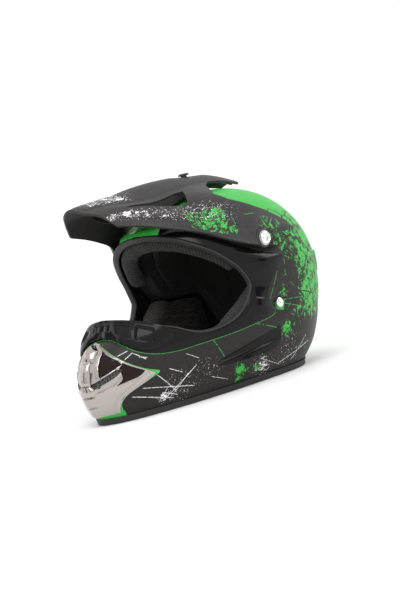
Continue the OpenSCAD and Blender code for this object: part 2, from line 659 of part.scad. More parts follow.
outer_shell();
eyeport_surround();
eyeport_trim();
rim_trim();
chin_deflector();
chin_guard();
chin_guard_lenses();
chin_guard_mesh();
chin_guard_spine();
chin_guard_screws();
side_vent_left();
side_vent_right();
rear_vent();
mouth_vent_foam();
impact_liner();
chin_foam();
crown_pad();
brow_pad();
cheek_pad_left();
cheek_pad_right();
neck_roll();
liner_snaps();
visor();
visor_screw_left();
visor_screw_right();
visor_screw_top();
visor_washers();
visor_nuts();
visor_spacer();
strap_anchor_left();
strap_anchor_right();
strap_rivet_left();
strap_rivet_right();
strap_left();
strap_right();
strap_pad();
d_rings();
strap_snap();
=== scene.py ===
"""Motocross helmet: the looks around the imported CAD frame.

Lengths inside the shape functions are millimetres, as in the part's own source, and each mesh is
turned into metres when it is made. The wearer faces -Y and the wearer's left is +X.
"""
import math

import bmesh
import bpy
import numpy as np
from mathutils import Matrix, Vector


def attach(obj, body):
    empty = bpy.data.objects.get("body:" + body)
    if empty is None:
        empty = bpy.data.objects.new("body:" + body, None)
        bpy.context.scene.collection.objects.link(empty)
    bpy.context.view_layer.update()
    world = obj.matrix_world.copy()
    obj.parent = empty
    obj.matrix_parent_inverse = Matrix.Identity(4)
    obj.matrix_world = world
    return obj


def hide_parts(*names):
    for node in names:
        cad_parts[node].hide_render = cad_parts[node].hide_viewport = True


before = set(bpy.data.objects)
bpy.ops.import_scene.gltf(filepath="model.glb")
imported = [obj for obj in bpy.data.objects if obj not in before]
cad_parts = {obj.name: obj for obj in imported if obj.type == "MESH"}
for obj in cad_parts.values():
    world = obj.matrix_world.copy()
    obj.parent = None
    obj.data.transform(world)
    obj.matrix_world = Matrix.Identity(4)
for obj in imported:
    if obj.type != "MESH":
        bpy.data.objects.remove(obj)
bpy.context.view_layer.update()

MM = 0.001
CROWN = 246.0
CROWN_Y = 64.5
BELT = 125.0
DOME = CROWN - BELT
WALL = 4.0
BOLT = (38.5, 172.0)
ANCHOR = (42.5, 90.0)
TOP_SCREW_Y = 44.5

# height, half width, front reach, rear reach, exponent of the front half
SECTIONS = np.array([
    [4.5, 86.2, 239.4, 72.5, 1.95], [25, 98, 248, 96, 1.95], [48, 107.5, 250, 109, 1.9],
    [75, 114, 240, 119, 1.9], [94, 118, 220, 124, 1.95], [110, 120, 188, 126, 2],
    [125, 121, 166, 127, 2]], float)
PORT_LOW = np.array([[0, 106], [20, 104], [30, 101], [42, 93], [50, 84], [58, 79], [65, 84], [70, 98]], float)
PORT_HIGH = np.array([[0, 208], [20, 205], [34, 198], [48, 184], [60, 164], [66, 147], [70, 126]], float)
EDGE = [
    [0, 106], [12, 105.5], [24, 103], [34, 99], [42, 93], [48, 86], [54, 80], [60, 79.5], [66, 85],
    [69.5, 96], [70.5, 110], [69.5, 126], [66, 146], [60, 163], [54, 175], [46, 186], [34, 198],
    [20, 205], [9, 207.5], [0, 208]]
BORDER = [
    [0, 99], [10, 96], [20, 88], [29, 78], [37, 71], [45, 68], [54, 69], [62, 70], [72, 73],
    [82, 80], [79, 104], [81, 122], [91, 146], [78, 158], [68, 171], [56, 187], [38, 204],
    [22, 212], [10, 215], [0, 215]]
GUARD = np.array([
    [13, 17], [24, 19.5], [32, 23.5], [38, 29], [44, 34], [50, 36.5], [56, 33], [63, 28], [70, 23],
    [78, 17], [86, 10], [93, 4]], float)
CREST = [
    [0, -216, 257], [0, -179, 260], [0, -147, 262], [0, -114, 266], [0, -74, 268], [0, -34, 267],
    [0, 13, 262], [0, 60, 245]]
SPINE_EDGE = [
    [16, -213, 251], [21, -179, 252], [26, -149, 249], [29, -116, 248], [29, -74, 251],
    [28, -34, 253], [24, 12, 252], [17, 56, 243]]
ARM_TOP = [
    [34, -199, 242], [37, -168, 243], [42, -142, 241], [50, -112, 235], [56, -82, 231],
    [73, -50, 230], [100, -12, 213], [118, 16, 188]]
ARM_LOW = [
    [46, -186, 226], [54, -158, 220], [61, -132, 212], [71, -107, 203], [90, -88, 192],
    [107, -71, 179], [119, -46, 167], [123, -22, 160]]
FOAM_LOW = np.array([
    [0, 223], [20, 221], [34, 215], [48, 204], [60, 188], [67, 172], [73, 150], [78, 130], [84, 118],
    [96, 116], [112, 112], [120, 76], [128, 52], [150, 46], [180, 46]], float)
DEFLECTOR_LOW = np.array([[0, 98.6], [10, 95.6], [20, 87.8], [29, 79.5], [36, 76], [42, 80]], float)
CHEEK_OUTER = np.array([[30, 24], [45, 20.5], [60, 17.5], [78, 14], [90, 13], [112, 13]], float)
CHEEK_TOP = np.array([[70, 96], [75, 120], [80, 117], [84, 112], [96, 110], [110, 105]], float)
PAD_LOW = np.array([
    [0, 225], [20, 224], [34, 219], [48, 210], [60, 196], [70, 176], [78, 150], [86, 126], [98, 120],
    [112, 116], [122, 84], [132, 66], [155, 62], [180, 62]], float)
STRAP = [
    [108, 82], [106, 74], [101, 64], [95.5, 52], [88.5, 38], [80, 26], [68, 18], [50, 14], [26, 12.5],
    [2, 12]]


# ---- Curves and the shell's surface, as in the CAD source ----

def look(table, x, k=1):
    """Column k of a table at x, on a smooth curve through its rows."""
    x = np.asarray(x, float)
    X, Y = table[:, 0], table[:, k]
    n = len(X)
    i = np.clip(np.searchsorted(X, x, side="right") - 1, 0, n - 2)
    before = [max(j - 1, 0) for j in range(n - 1)]
    m = np.array([(Y[j + 1] - Y[b]) / (X[j + 1] - X[b]) for j, b in enumerate(before)] + [0.0])
    h = X[i + 1] - X[i]
    t = np.clip((x - X[i]) / h, 0, 1)
    return ((2 * t**3 - 3 * t**2 + 1) * Y[i] + (t**3 - 2 * t**2 + t) * h * m[i]
            + (3 * t**2 - 2 * t**3) * Y[i + 1] + (t**3 - t**2) * h * m[i + 1])


def through(points, t):
    """Points at t, from 0 to 1, on a smooth curve through a list of points."""
    P = np.asarray(points, float)
    n = len(P) - 1
    s = np.clip(np.asarray(t, float) * n, 0, n - 1e-6)
    i = np.floor(s).astype(int)
    f = (s - i)[..., None]
    a, b, c, d = P[np.maximum(i - 1, 0)], P[i], P[i + 1], P[np.minimum(i + 2, n)]
    return 0.5 * (2 * b + (c - a) * f + (2 * a - 5 * b + 4 * c - d) * f**2 + (3 * b - a - 3 * c + d) * f**3)


def unit(v):
    return v / np.maximum(np.linalg.norm(v, axis=-1, keepdims=True), 1e-9)


def power(c, e):
    return np.sign(c) * np.abs(c) ** e


def smooth(lo, hi, x):
    t = np.clip((x - lo) / (hi - lo), 0, 1)
    return t * t * (3 - 2 * t)


def skin(a, z, d=0.0):
    """Points of the shell at angles from straight ahead (90 is the wearer's left) and heights."""
    a, z = np.broadcast_arrays(np.asarray(a, float), np.asarray(z, float))
    up = z > BELT
    s = np.clip((z - BELT) / DOME, 0, 1) ** (1 / 0.96)
    f = np.where(up, np.sqrt(np.maximum(0, 1 - s * s)) ** 0.92, 1)
    low = np.minimum(z, BELT)
    c, q = np.cos(np.radians(a)), np.sin(np.radians(a))
    front = c > 0
    e = np.where(front, 2 / look(SECTIONS, low, 4), 2 / 2.1)
    reach = np.where(front, look(SECTIONS, low, 2), look(SECTIONS, low, 3)) - d
    width = look(SECTIONS, low, 1) - d
    return np.stack([width * f * power(q, e), CROWN_Y - reach * f * power(c, e),
                     np.where(up, BELT + (z - BELT) * (DOME - d) / DOME, z)], -1)


def skin_normal(a, z):
    s = 0.5
    return unit(np.cross(skin(a + s, z) - skin(a - s, z), skin(a, z + s) - skin(a, z - s)))


def under(a, z, d):
    a, z = np.broadcast_arrays(np.asarray(a, float), np.asarray(z, float))
    return skin(a, z) - np.asarray(d, float)[..., None] * skin_normal(a, z)


def dome_z(z, t):
    """Height at the share t of the way from z up to the crown, in even steps over the dome."""
    a = np.arcsin(np.clip((z - BELT) / DOME, 0, 1) ** (1 / 0.96))
    return BELT + DOME * np.sin(a + (np.pi / 2 - a) * t) ** 0.96


# ---- Meshes ----

def make_object(name, verts, faces, sharp=38.0, bevel=0.0, attributes=None):
    """A smooth-shaded object in metres from millimetre points; edges over the angle stay sharp."""
    mesh = bpy.data.meshes.new(name)
    mesh.from_pydata([tuple(v) for v in np.asarray(verts, float) * MM], [], [tuple(f) for f in faces])
    for key, values in (attributes or {}).items():
        layer = mesh.attributes.new(key, "FLOAT", "POINT")
        layer.data.foreach_set("value", np.asarray(values, np.float32).ravel())
    bm = bmesh.new()
    bm.from_mesh(mesh)
    bmesh.ops.remove_doubles(bm, verts=bm.verts, dist=1e-6)
    bmesh.ops.dissolve_degenerate(bm, edges=bm.edges, dist=1e-7)
    bmesh.ops.recalc_face_normals(bm, faces=bm.faces)
    for f in bm.faces:
        f.smooth = True
    for e in bm.edges:
        e.smooth = not (len(e.link_faces) == 2 and e.calc_face_angle(0) > math.radians(sharp))
    bm.to_mesh(mesh)
    bm.free()
    obj = bpy.data.objects.new(name, mesh)
    bpy.context.scene.collection.objects.link(obj)
    if bevel:
        b = obj.modifiers.new("edges", "BEVEL")
        b.width, b.segments, b.limit_method, b.angle_limit = bevel * MM, 2, "ANGLE", math.radians(sharp)
        b.harden_normals = True
    return obj


def sheet(name, P, Q, keep=None, wrap=False, attributes=None, **more):
    """Closed solid between the grids P (outside) and Q (inside), of the kept cells."""
    nu, nv = P.shape[:2]
    cu = nu if wrap else nu - 1
    on = np.ones((cu, nv - 1), bool) if keep is None else np.asarray(keep, bool)
    index = np.arange(nu * nv).reshape(nu, nv)
    a, b = index[:cu, :-1], index[:cu, 1:]
    nxt = (np.arange(cu) + 1) % nu
    c, d = index[nxt][:, 1:], index[nxt][:, :-1]
    deep = nu * nv
    faces = [np.stack([x[on] for x in (d, c, b, a)], 1), np.stack([x[on] + deep for x in (a, b, c, d)], 1)]
    pad = np.zeros((cu + 2, nv + 1), bool)
    pad[1:-1, 1:-1] = on
    if wrap:
        pad[0, 1:-1], pad[-1, 1:-1] = on[-1], on[0]
    sides = ((pad[:-2, 1:-1], a, b), (pad[2:, 1:-1], c, d), (pad[1:-1, :-2], d, a), (pad[1:-1, 2:], b, c))
    for off, p, q in sides:
        m = on & ~off
        faces.append(np.stack([p[m], q[m], q[m] + deep, p[m] + deep], 1))
    verts = np.concatenate([P.reshape(-1, 3), Q.reshape(-1, 3)])
    used = np.unique(np.concatenate(faces))
    renumber = np.zeros(len(verts), int)
    renumber[used] = np.arange(len(used))
    both = {k: np.concatenate([np.ravel(v), np.ravel(v) * 0])[used] for k, v in (attributes or {}).items()}
    return make_object(name, verts[used], renumber[np.concatenate(faces)].tolist(), attributes=both, **more)


def tube(name, rings, loop=False, **more):
    """Closed tube of a list of rings of points, joined end to end or capped."""
    R = np.asarray(rings, float)
    n, m = R.shape[:2]
    faces = [(i * m + j, i * m + (j + 1) % m, ((i + 1) % n) * m + (j + 1) % m, ((i + 1) % n) * m + j)
             for i in range(n if loop else n - 1) for j in range(m)]
    if not loop:
        faces += [tuple(range(m - 1, -1, -1)), tuple(range((n - 1) * m, n * m))]
    return make_object(name, R.reshape(-1, 3), faces, **more)


def outline_distance(points, u, v):
    """Signed distance from (u, v) to a closed outline, negative inside it."""
    p = np.stack([u, v], -1)[..., None, :]
    A = np.asarray(points, float)
    B = np.roll(A, -1, 0)
    e, w = B - A, p - A
    t = np.clip((w * e).sum(-1) / (e * e).sum(-1), 0, 1)[..., None]
    near = np.sqrt((((w - e * t) ** 2).sum(-1)).min(-1))
    x, y = p[..., 0], p[..., 1]
    cross = (A[:, 1] > y) != (B[:, 1] > y)
    with np.errstate(divide="ignore", invalid="ignore"):
        side = x < (B[:, 0] - A[:, 0]) * (y - A[:, 1]) / (B[:, 1] - A[:, 1]) + A[:, 0]
    return np.where((cross & side).sum(-1) % 2 == 1, -near, near)


def cut_out(U, V, field):
    """Cells of a grid where field is positive, with the vertices on the cut moved onto it."""
    centre = lambda G: (G[:-1, :-1] + G[1:, :-1] + G[:-1, 1:] + G[1:, 1:]) / 4
    keep = field(centre(U), centre(V)) > 0
    pad = np.zeros((keep.shape[0] + 2, keep.shape[1] + 2), int)
    pad[1:-1, 1:-1] = np.where(keep, 1, -1)
    cells = np.stack([pad[:-1, :-1], pad[1:, :-1], pad[:-1, 1:], pad[1:, 1:]])
    edge = (cells.max(0) == 1) & (cells.min(0) == -1)
    U, V = U.copy(), V.copy()
    s = 0.001
    for _ in range(4):
        f = field(U, V)
        gu, gv = (field(U + s, V) - f) / s, (field(U, V + s) - f) / s
        g = np.maximum(gu * gu + gv * gv, 1e-9)
        step = np.clip(f / g, -2, 2)
        U = np.where(edge, U - step * gu, U)
        V = np.where(edge, V - step * gv, V)
    return U, V, keep


def to_grid(us, vs):
    return np.meshgrid(np.asarray(us, float), np.asarray(vs, float), indexing="ij")


# ---- Materials ----

def shade(color, factor, more=0.0):
    return tuple(x * factor + more for x in color)


class Nodes:
    """Short way to build a procedural material."""

    def __init__(self, name):
        self.mat = bpy.data.materials.new(name)
        self.mat.use_nodes = True
        self.tree = self.mat.node_tree
        self.bsdf = self.tree.nodes["Principled BSDF"]
        self.coord = self.tree.nodes.new("ShaderNodeTexCoord").outputs["Object"]

    def node(self, kind, inputs=None, **settings):
        n = self.tree.nodes.new(kind)
        for k, v in settings.items():
            setattr(n, k, v)
        for k, v in (inputs or {}).items():
            self.put(n.inputs[k], v)
        return n

    def put(self, socket, value):
        if isinstance(value, bpy.types.NodeSocket):
            self.tree.links.new(value, socket)
        elif isinstance(value, (tuple, list)) and len(value) == 3 and socket.type == "RGBA":
            socket.default_value = (*value, 1)
        else:
            socket.default_value = value

    def set(self, **inputs):
        for k, v in inputs.items():
            self.put(self.bsdf.inputs[k.replace("_", " ")], v)
        return self

    def math(self, op, a, b=0.0, clamp=False):
        n = self.node("ShaderNodeMath", {0: a, 1: b}, operation=op, use_clamp=clamp)
        return n.outputs[0]

    def attribute(self, name):
        return self.node("ShaderNodeAttribute", attribute_name=name).outputs["Fac"]

    def noise(self, scale, detail=3.0, rough=0.5, vector=None, distortion=0.0):
        n = self.node("ShaderNodeTexNoise", {"Vector": vector or self.coord, "Scale": scale, "Detail": detail,
                                             "Roughness": rough, "Distortion": distortion})
        return n.outputs["Fac"]

    def mapping(self, rotation=(0, 0, 0), scale=(1, 1, 1), location=(0, 0, 0)):
        return self.node("ShaderNodeMapping", {"Vector": self.coord, "Rotation": rotation, "Scale": scale,
                                               "Location": location}).outputs[0]

    def step(self, value, lo, hi):
        """0 below lo and 1 above hi, smoothly between."""
        n = self.node("ShaderNodeMapRange", {"Value": value, "From Min": lo, "From Max": hi},
                      interpolation_type="SMOOTHSTEP")
        return n.outputs[0]

    def mix(self, fac, a, b):
        n = self.node("ShaderNodeMix", data_type="RGBA")
        self.put(n.inputs["Factor"], fac)
        self.put(n.inputs[6], a)
        self.put(n.inputs[7], b)
        return n.outputs[2]

    def span(self, value, low, high):
        """Value from 0 to 1 turned into low to high."""
        return self.node("ShaderNodeMapRange", {"Value": value, "To Min": low, "To Max": high}).outputs[0]

    def bump(self, height, strength=0.3, distance=0.001, below=None):
        inputs = {"Height": height, "Strength": strength, "Distance": distance}
        if below is not None:
            inputs["Normal"] = below
        n = self.node("ShaderNodeBump", inputs)
        self.put(self.bsdf.inputs["Normal"], n.outputs[0])
        return n.outputs[0]


BLACK = (0.0135, 0.0115, 0.011)
GREEN = (0.036, 0.37, 0.05)
WHITE = (0.85, 0.85, 0.85)

# Straight scratches in the side view, from (y, z) to (y, z) in millimetres, and their width
WHITE_STROKES = [
    (-133, 48, -110, 20, 0.7), (-84, 46, -126, 14, 0.9), (-95, 39, -119, 14, 0.7), (-160, 28, -112, 13, 0.9),
    (-149, 35, -87, 21, 0.8), (-118, 50, -102, 41, 0.7), (-161, 78, -150, 82, 0.8), (-158, 72, -147, 79, 0.8),
    (-148, 78, -138, 67, 0.9), (-145, 72, -136, 69, 0.7), (40, 15, 101, 31, 0.8), (64, 14, 92, 40, 0.7),
    (-128, 24, -108, 16, 0.8), (-120, 30, -131, 12, 0.6), (-66, 26, -40, 16, 0.5), (-96, 62, -80, 52, 0.5),
    (6, 30, 44, 13, 0.5)]
GREEN_STROKES = [
    (-60, 70, -47, 44, 0.8), (1, 74, 44, 57, 0.8), (50, 88, 108, 67, 0.9), (27, 95, 49, 130, 0.7),
    (49, 92, 106, 86, 0.7), (60, 148, 100, 128, 0.8), (56, 60, 66, 44, 0.6), (20, 84, 38, 92, 0.6),
    (70, 166, 104, 120, 0.7), (66, 112, 92, 82, 0.7)]


def strokes(m, table):
    """Thin straight lines, broken up along their length."""
    total = None
    for y0, z0, y1, z1, wide in table:
        turn, length = math.atan2(z1 - z0, y1 - y0), math.hypot(y1 - y0, z1 - z0) * MM
        c, q = math.cos(turn), math.sin(turn)
        place = (0.0, -(y0 * c + z0 * q) * MM, (y0 * q - z0 * c) * MM)
        v = m.mapping(rotation=(-turn, 0, 0), location=place)
        xyz = m.node("ShaderNodeSeparateXYZ", {0: v}).outputs
        off = m.math("ABSOLUTE", xyz[2])
        past = m.math("ABSOLUTE", m.math("SUBTRACT", xyz[1], length / 2))
        line = m.math("MULTIPLY", m.step(off, wide * 0.55 * MM, wide * 0.35 * MM),
                      m.step(past, length / 2, length / 2 - 0.002))
        total = line if total is None else m.math("MAXIMUM", total, line)
    return m.math("MULTIPLY", total, m.step(m.noise(640, 6, 0.8), 0.43, 0.49))


def cracks(m, scale, width, seed):
    """Network of thin lines, as in torn paint."""
    noise = m.node("ShaderNodeTexNoise", {"Vector": m.coord, "Scale": scale * 0.8, "Detail": 3.0})
    shift = noise.outputs["Color"]
    v = m.node("ShaderNodeVectorMath", {0: m.mapping(location=(seed, seed, 0)), 1: m.node(
        "ShaderNodeVectorMath", {0: shift, 1: (0.5 / scale,) * 3}, operation="MULTIPLY").outputs[0]},
        operation="ADD").outputs[0]
    cell = m.node("ShaderNodeTexVoronoi", {"Vector": v, "Scale": scale}, feature="DISTANCE_TO_EDGE")
    return m.step(cell.outputs["Distance"], width, width * 0.5)


def splatter(m, zone, scale, seed, rough=0.62, stretch=(1, 1, 1)):
    """Torn edge: the zone (0 to 1) broken up by fine noise."""
    v = m.mapping(location=(seed, seed * 0.7, -seed), scale=stretch)
    fine = m.noise(scale, 9.0, rough, vector=v, distortion=0.6)
    return m.step(m.math("ADD", zone, m.math("MULTIPLY", m.math("SUBTRACT", fine, 0.5), 1.7)), 0.49, 0.52)


def painted(name, rough, zones=True, base=BLACK, coat=0.0, marks=True):
    """Lacquer with green and white splatter where the mesh's own attributes ask for it."""
    m = Nodes(name)
    color = m.mix(m.step(m.noise(260, 4, 0.6), 0.3, 0.7), base, shade(base, 1.25, 0.002))
    if zones:
        field = m.attribute("green")
        lit = m.mix(m.noise(30, 3), GREEN, shade(GREEN, 1.15))
        veins = m.math("MULTIPLY", cracks(m, 34, 0.018, 3.0), m.step(m.attribute("veins"), 0.4, 0.8))
        veins = m.math("MULTIPLY", veins, m.step(m.noise(60, 3), 0.5, 0.56))
        green = m.math("MAXIMUM", splatter(m, field, 150, 3.1, 0.72, (1, 1, 0.75)), veins)
        if marks:
            green = m.math("MAXIMUM", green, strokes(m, GREEN_STROKES))
        fine = m.math("MULTIPLY", cracks(m, 75, 0.05, 5.0), m.step(m.noise(45, 3), 0.5, 0.56))
        dark = m.math("MAXIMUM", cracks(m, 26, 0.03, 8.0), fine)
        dark = m.math("MULTIPLY", dark, m.step(field, 1.05, 0.8))
        color = m.mix(m.math("MULTIPLY", green, m.math("SUBTRACT", 1.0, dark)), color, lit)
        area = m.attribute("white")
        white = splatter(m, area, 330, 9.4, 0.78, (1, 0.35, 1))
        speck = m.math("MULTIPLY", m.step(m.noise(520, 3, 0.6), 0.63, 0.66), m.step(area, 0.05, 0.3))
        white = m.math("MAXIMUM", white, speck)
        if marks:
            white = m.math("MAXIMUM", white, strokes(m, WHITE_STROKES))
        color = m.mix(white, color, WHITE)
    m.set(Base_Color=color, Roughness=m.span(m.noise(38, 5, 0.6), rough - 0.05, rough + 0.07))
    m.set(Specular_IOR_Level=0.26)
    if coat:
        m.set(Coat_Weight=coat, Coat_Roughness=0.08)
    m.bump(m.noise(900, 2), 0.05, 0.0003)
    return m.mat


def gloss(name, color, rough=0.12):
    m = Nodes(name)
    tone = m.noise(40, 4, 0.6)
    m.set(Base_Color=m.mix(tone, color, shade(color, 1.3, 0.001)), IOR=1.5,
          Roughness=m.span(m.noise(60, 4), rough, rough + 0.1))
    m.set(Coat_Weight=0.05, Coat_Roughness=0.05, Specular_IOR_Level=0.17)
    m.bump(m.noise(25, 2), 0.05, 0.0006)
    return m.mat


def chromed(name, color=(0.44, 0.405, 0.38), rough=0.09, grain=0.05):
    m = Nodes(name)
    tone = m.noise(55, 5, 0.65)
    m.set(Base_Color=m.mix(tone, shade(color, 0.88), color), Metallic=1.0,
          Roughness=m.span(m.noise(140, 4), rough, rough + grain))
    m.bump(m.noise(70, 2), 0.04, 0.0006)
    return m.mat


def plastic(name, color, rough=0.5, grain=700, depth=0.12):
    m = Nodes(name)
    tone = m.noise(90, 4, 0.6)
    m.set(Base_Color=m.mix(tone, color, shade(color, 1.4, 0.002)),
          Roughness=m.span(m.noise(50, 3), rough - 0.06, rough + 0.08))
    m.bump(m.noise(grain, 3), depth, 0.0004)
    return m.mat


def foam(name, color):
    m = Nodes(name)
    cell = m.node("ShaderNodeTexVoronoi", {"Vector": m.coord, "Scale": 260.0}, feature="F1")
    # Painted shade: each cell is darker in its sunken middle and lighter towards its raised rim, following
    # the bump.
    m.set(Base_Color=m.mix(cell.outputs["Distance"], color, shade(color, 1.8, 0.004)),
          Roughness=m.span(m.noise(50, 3), 0.8, 0.95))
    m.bump(cell.outputs["Distance"], 0.5, 0.0008)
    return m.mat


def honeycomb(name, color, scale=300.0):
    """Knitted spacer mesh: a net of small cells, their sunken middles darkened with painted shade."""
    m = Nodes(name)
    cell = m.node("ShaderNodeTexVoronoi", {"Vector": m.coord, "Scale": scale, "Randomness": 0.25},
                  feature="DISTANCE_TO_EDGE")
    net = m.step(cell.outputs["Distance"], 0.07, 0.2)
    tone = m.mix(m.noise(60, 4), color, shade(color, 1.35))
    # Painted shade: the sunken middle of each cell is darkened to 0.22 of the colour; the raised net keeps
    # it.
    m.set(Base_Color=m.mix(net, tone, shade(color, 0.22)), Sheen_Weight=0.05, Sheen_Roughness=0.5,
          Roughness=m.span(net, 0.75, 0.95))
    m.bump(m.math("SUBTRACT", 1.0, net), 0.7, 0.0012)
    return m.mat


def ribbed(name, color, attribute="rib"):
    """Mesh fabric with raised ribs across the pad."""
    m = Nodes(name)
    rib = m.math("SINE", m.attribute(attribute))
    weave = m.noise(1400, 2)
    high = m.step(rib, -0.5, 0.8)
    # Painted shade: the sunken grooves between the ribs are darkened to 0.3 of the colour.
    m.set(Base_Color=m.mix(high, shade(color, 0.3), m.mix(weave, color, shade(color, 1.4))),
          Sheen_Weight=0.05, Sheen_Roughness=0.5,
          Roughness=m.span(weave, 0.75, 0.95))
    m.bump(m.math("ADD", high, m.math("MULTIPLY", weave, 0.3)), 0.7, 0.0012)
    return m.mat


def cloth(name, color):
    m = Nodes(name)
    waves = {"Vector": m.coord, "Scale": 420.0, "Distortion": 0.6}
    w1 = m.node("ShaderNodeTexWave", waves, bands_direction="X")
    w2 = m.node("ShaderNodeTexWave", waves, bands_direction="Z")
    weave = m.math("MAXIMUM", w1.outputs["Fac"], w2.outputs["Fac"])
    # Painted shade: the low places of the weave are darkened to half the colour.
    m.set(Base_Color=m.mix(weave, shade(color, 0.5), m.mix(m.noise(40, 4), color, shade(color, 1.3))),
          Sheen_Weight=0.05, Sheen_Roughness=0.5,
          Roughness=m.span(weave, 0.95, 0.78))
    m.bump(weave, 0.4, 0.0005)
    return m.mat


def webbing_cloth(name, color):
    m = Nodes(name)
    rows = m.math("SINE", m.attribute("along"))
    ribs = m.math("SINE", m.attribute("across"))
    weave = m.step(m.math("MULTIPLY", rows, ribs), -0.4, 0.6)
    # Painted shade: the low places of the weave are darkened to 0.45 of the colour.
    m.set(Base_Color=m.mix(weave, shade(color, 0.45), color), Sheen_Weight=0.3, Sheen_Roughness=0.4,
          Roughness=m.span(weave, 0.9, 0.7))
    m.bump(weave, 0.6, 0.0005)
    return m.mat


def perforated(name, color):
    m = Nodes(name)
    grid = {"Vector": m.coord, "Scale": 360.0, "Randomness": 0.0}
    cell = m.node("ShaderNodeTexVoronoi", grid, feature="F1")
    hole = m.step(cell.outputs["Distance"], 0.42, 0.34)
    # Painted shade: the holes are not cut; they are painted almost black for the shaded dark seen through
    # them.
    m.set(Base_Color=m.mix(hole, color, (0.004, 0.004, 0.004)), Metallic=0.0,
          Roughness=m.span(hole, 0.35, 0.9))
    m.bump(m.math("SUBTRACT", 1.0, hole), 0.8, 0.001)
    return m.mat


MATS = {
    "shell": painted("shell_lacquer", 0.42),
    "peak": painted("peak_lacquer", 0.45, base=(0.024, 0.022, 0.022), marks=False),
    "gloss": gloss("surround_gloss", (0.003, 0.0028, 0.0028)),
    "rubber": plastic("trim_rubber", (0.011, 0.0105, 0.0105), 0.62, 500, 0.25),
    "chrome": chromed("guard_chrome"),
    "smoke": gloss("smoked_window", (0.009, 0.0032, 0.0025), 0.05),
    "mesh": perforated("vent_mesh", (0.05, 0.05, 0.048)),
    "green": painted("green_lacquer", 0.3, zones=False, base=GREEN, coat=0.4),
    "foam": foam("bead_foam", (0.012, 0.012, 0.012)),
    "filter": foam("filter_foam", (0.02, 0.02, 0.02)),
    "comb": honeycomb("cheek_mesh", (0.032, 0.028, 0.025)),
    "ribs": ribbed("brow_mesh", (0.016, 0.0145, 0.013)),
    "cloth": cloth("lining_cloth", (0.011, 0.010, 0.0095)),
    "web": webbing_cloth("strap_webbing", (0.02, 0.02, 0.02)),
    "snap": plastic("moulded_black", (0.02, 0.02, 0.02), 0.45),
    "screw": chromed("screw_metal", (0.86, 0.86, 0.86), 0.14, 0.1),
    "steel": chromed("plated_steel", (0.6, 0.6, 0.6), 0.24, 0.12),
}


def dress(obj, material, body="shell", stands_for=()):
    obj.data.materials.clear()
    obj.data.materials.append(MATS[material])
    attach(obj, body)
    if stands_for:
        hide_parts(*stands_for)
    return obj


def dress_node(name, material, smooth_angle=30.0):
    """A CAD node that keeps its shape and takes a better material."""
    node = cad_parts[name]
    node.data.materials.clear()
    node.data.materials.append(MATS[material])
    b = node.modifiers.new("edges", "BEVEL")
    b.width, b.segments, b.limit_method, b.angle_limit = 0.0003, 2, "ANGLE", math.radians(smooth_angle)
    return node


# ---- Camera, floor and light ----

TARGET = Vector((0, 0.0165, 0.1305))
CAM_TURN, CAM_RISE, CAM_ROLL = math.radians(47.5), math.radians(3.0), math.radians(13.5)
CAM_DISTANCE = 1.92


def make_camera():
    back = Vector((math.sin(CAM_TURN) * math.cos(CAM_RISE), -math.cos(CAM_TURN) * math.cos(CAM_RISE),
                   math.sin(CAM_RISE)))
    data = bpy.data.cameras.new("camera")
    data.sensor_width = 36.0
    data.lens = 90.2
    data.shift_x, data.shift_y = 0.0108, -0.023
    cam = bpy.data.objects.new("camera", data)
    bpy.context.scene.collection.objects.link(cam)
    cam.location = TARGET + back * CAM_DISTANCE
    look_at = (-back).to_track_quat("-Z", "Y").to_matrix().to_4x4()
    cam.rotation_euler = (look_at @ Matrix.Rotation(-CAM_ROLL, 4, "Z")).to_euler()
    bpy.context.scene.camera = cam


def area_light(name, place, size, power_w, color=(1, 1, 1)):
    data = bpy.data.lights.new(name, "AREA")
    data.shape, data.size, data.size_y = "RECTANGLE", size[0], size[1]
    data.energy, data.color = power_w, color
    obj = bpy.data.objects.new(name, data)
    bpy.context.scene.collection.objects.link(obj)
    obj.location = place
    obj.rotation_euler = (TARGET - Vector(place)).to_track_quat("-Z", "Y").to_euler()


def make_set():
    world = bpy.data.worlds.new("studio")
    bpy.context.scene.world = world
    world.use_nodes = True
    world.node_tree.nodes["Background"].inputs["Color"].default_value = (1, 1, 1, 1)
    world.node_tree.nodes["Background"].inputs["Strength"].default_value = 1.12
    bpy.context.scene.view_settings.view_transform = "Standard"
    mesh = bpy.data.meshes.new("floor")
    half = 6.0
    corners = [(i * half, j * half, 0) for i, j in ((-1, -1), (1, -1), (1, 1), (-1, 1))]
    mesh.from_pydata(corners, [], [(0, 1, 2, 3)])
    floor = bpy.data.objects.new("floor", mesh)
    bpy.context.scene.collection.objects.link(floor)
    floor.location.z = -0.0005
    m = Nodes("floor_white")
    m.set(Base_Color=m.mix(m.noise(3, 2), (0.87, 0.87, 0.87), (0.9, 0.9, 0.9)), Roughness=0.9)
    floor.data.materials.append(m.mat)
    area_light("key", (0.9, -1.3, 2.1), (1.6, 1.2), 22)
    area_light("fill", (-1.6, -1.2, 1.0), (1.2, 1.4), 6)
    area_light("rim", (1.2, 1.6, 1.5), (1.0, 1.2), 12)
    dark_card("card_front", (-1.5, -1.25, 0.55), (0.55, 1.3))
    dark_card("card_middle", (-0.65, -1.9, 0.45), (0.30, 1.3))
    dark_card("card_left", (0.15, -1.7, 0.30), (0.16, 0.8))
    dark_card("card_right", (1.9, 0.9, 0.5), (0.5, 1.2))


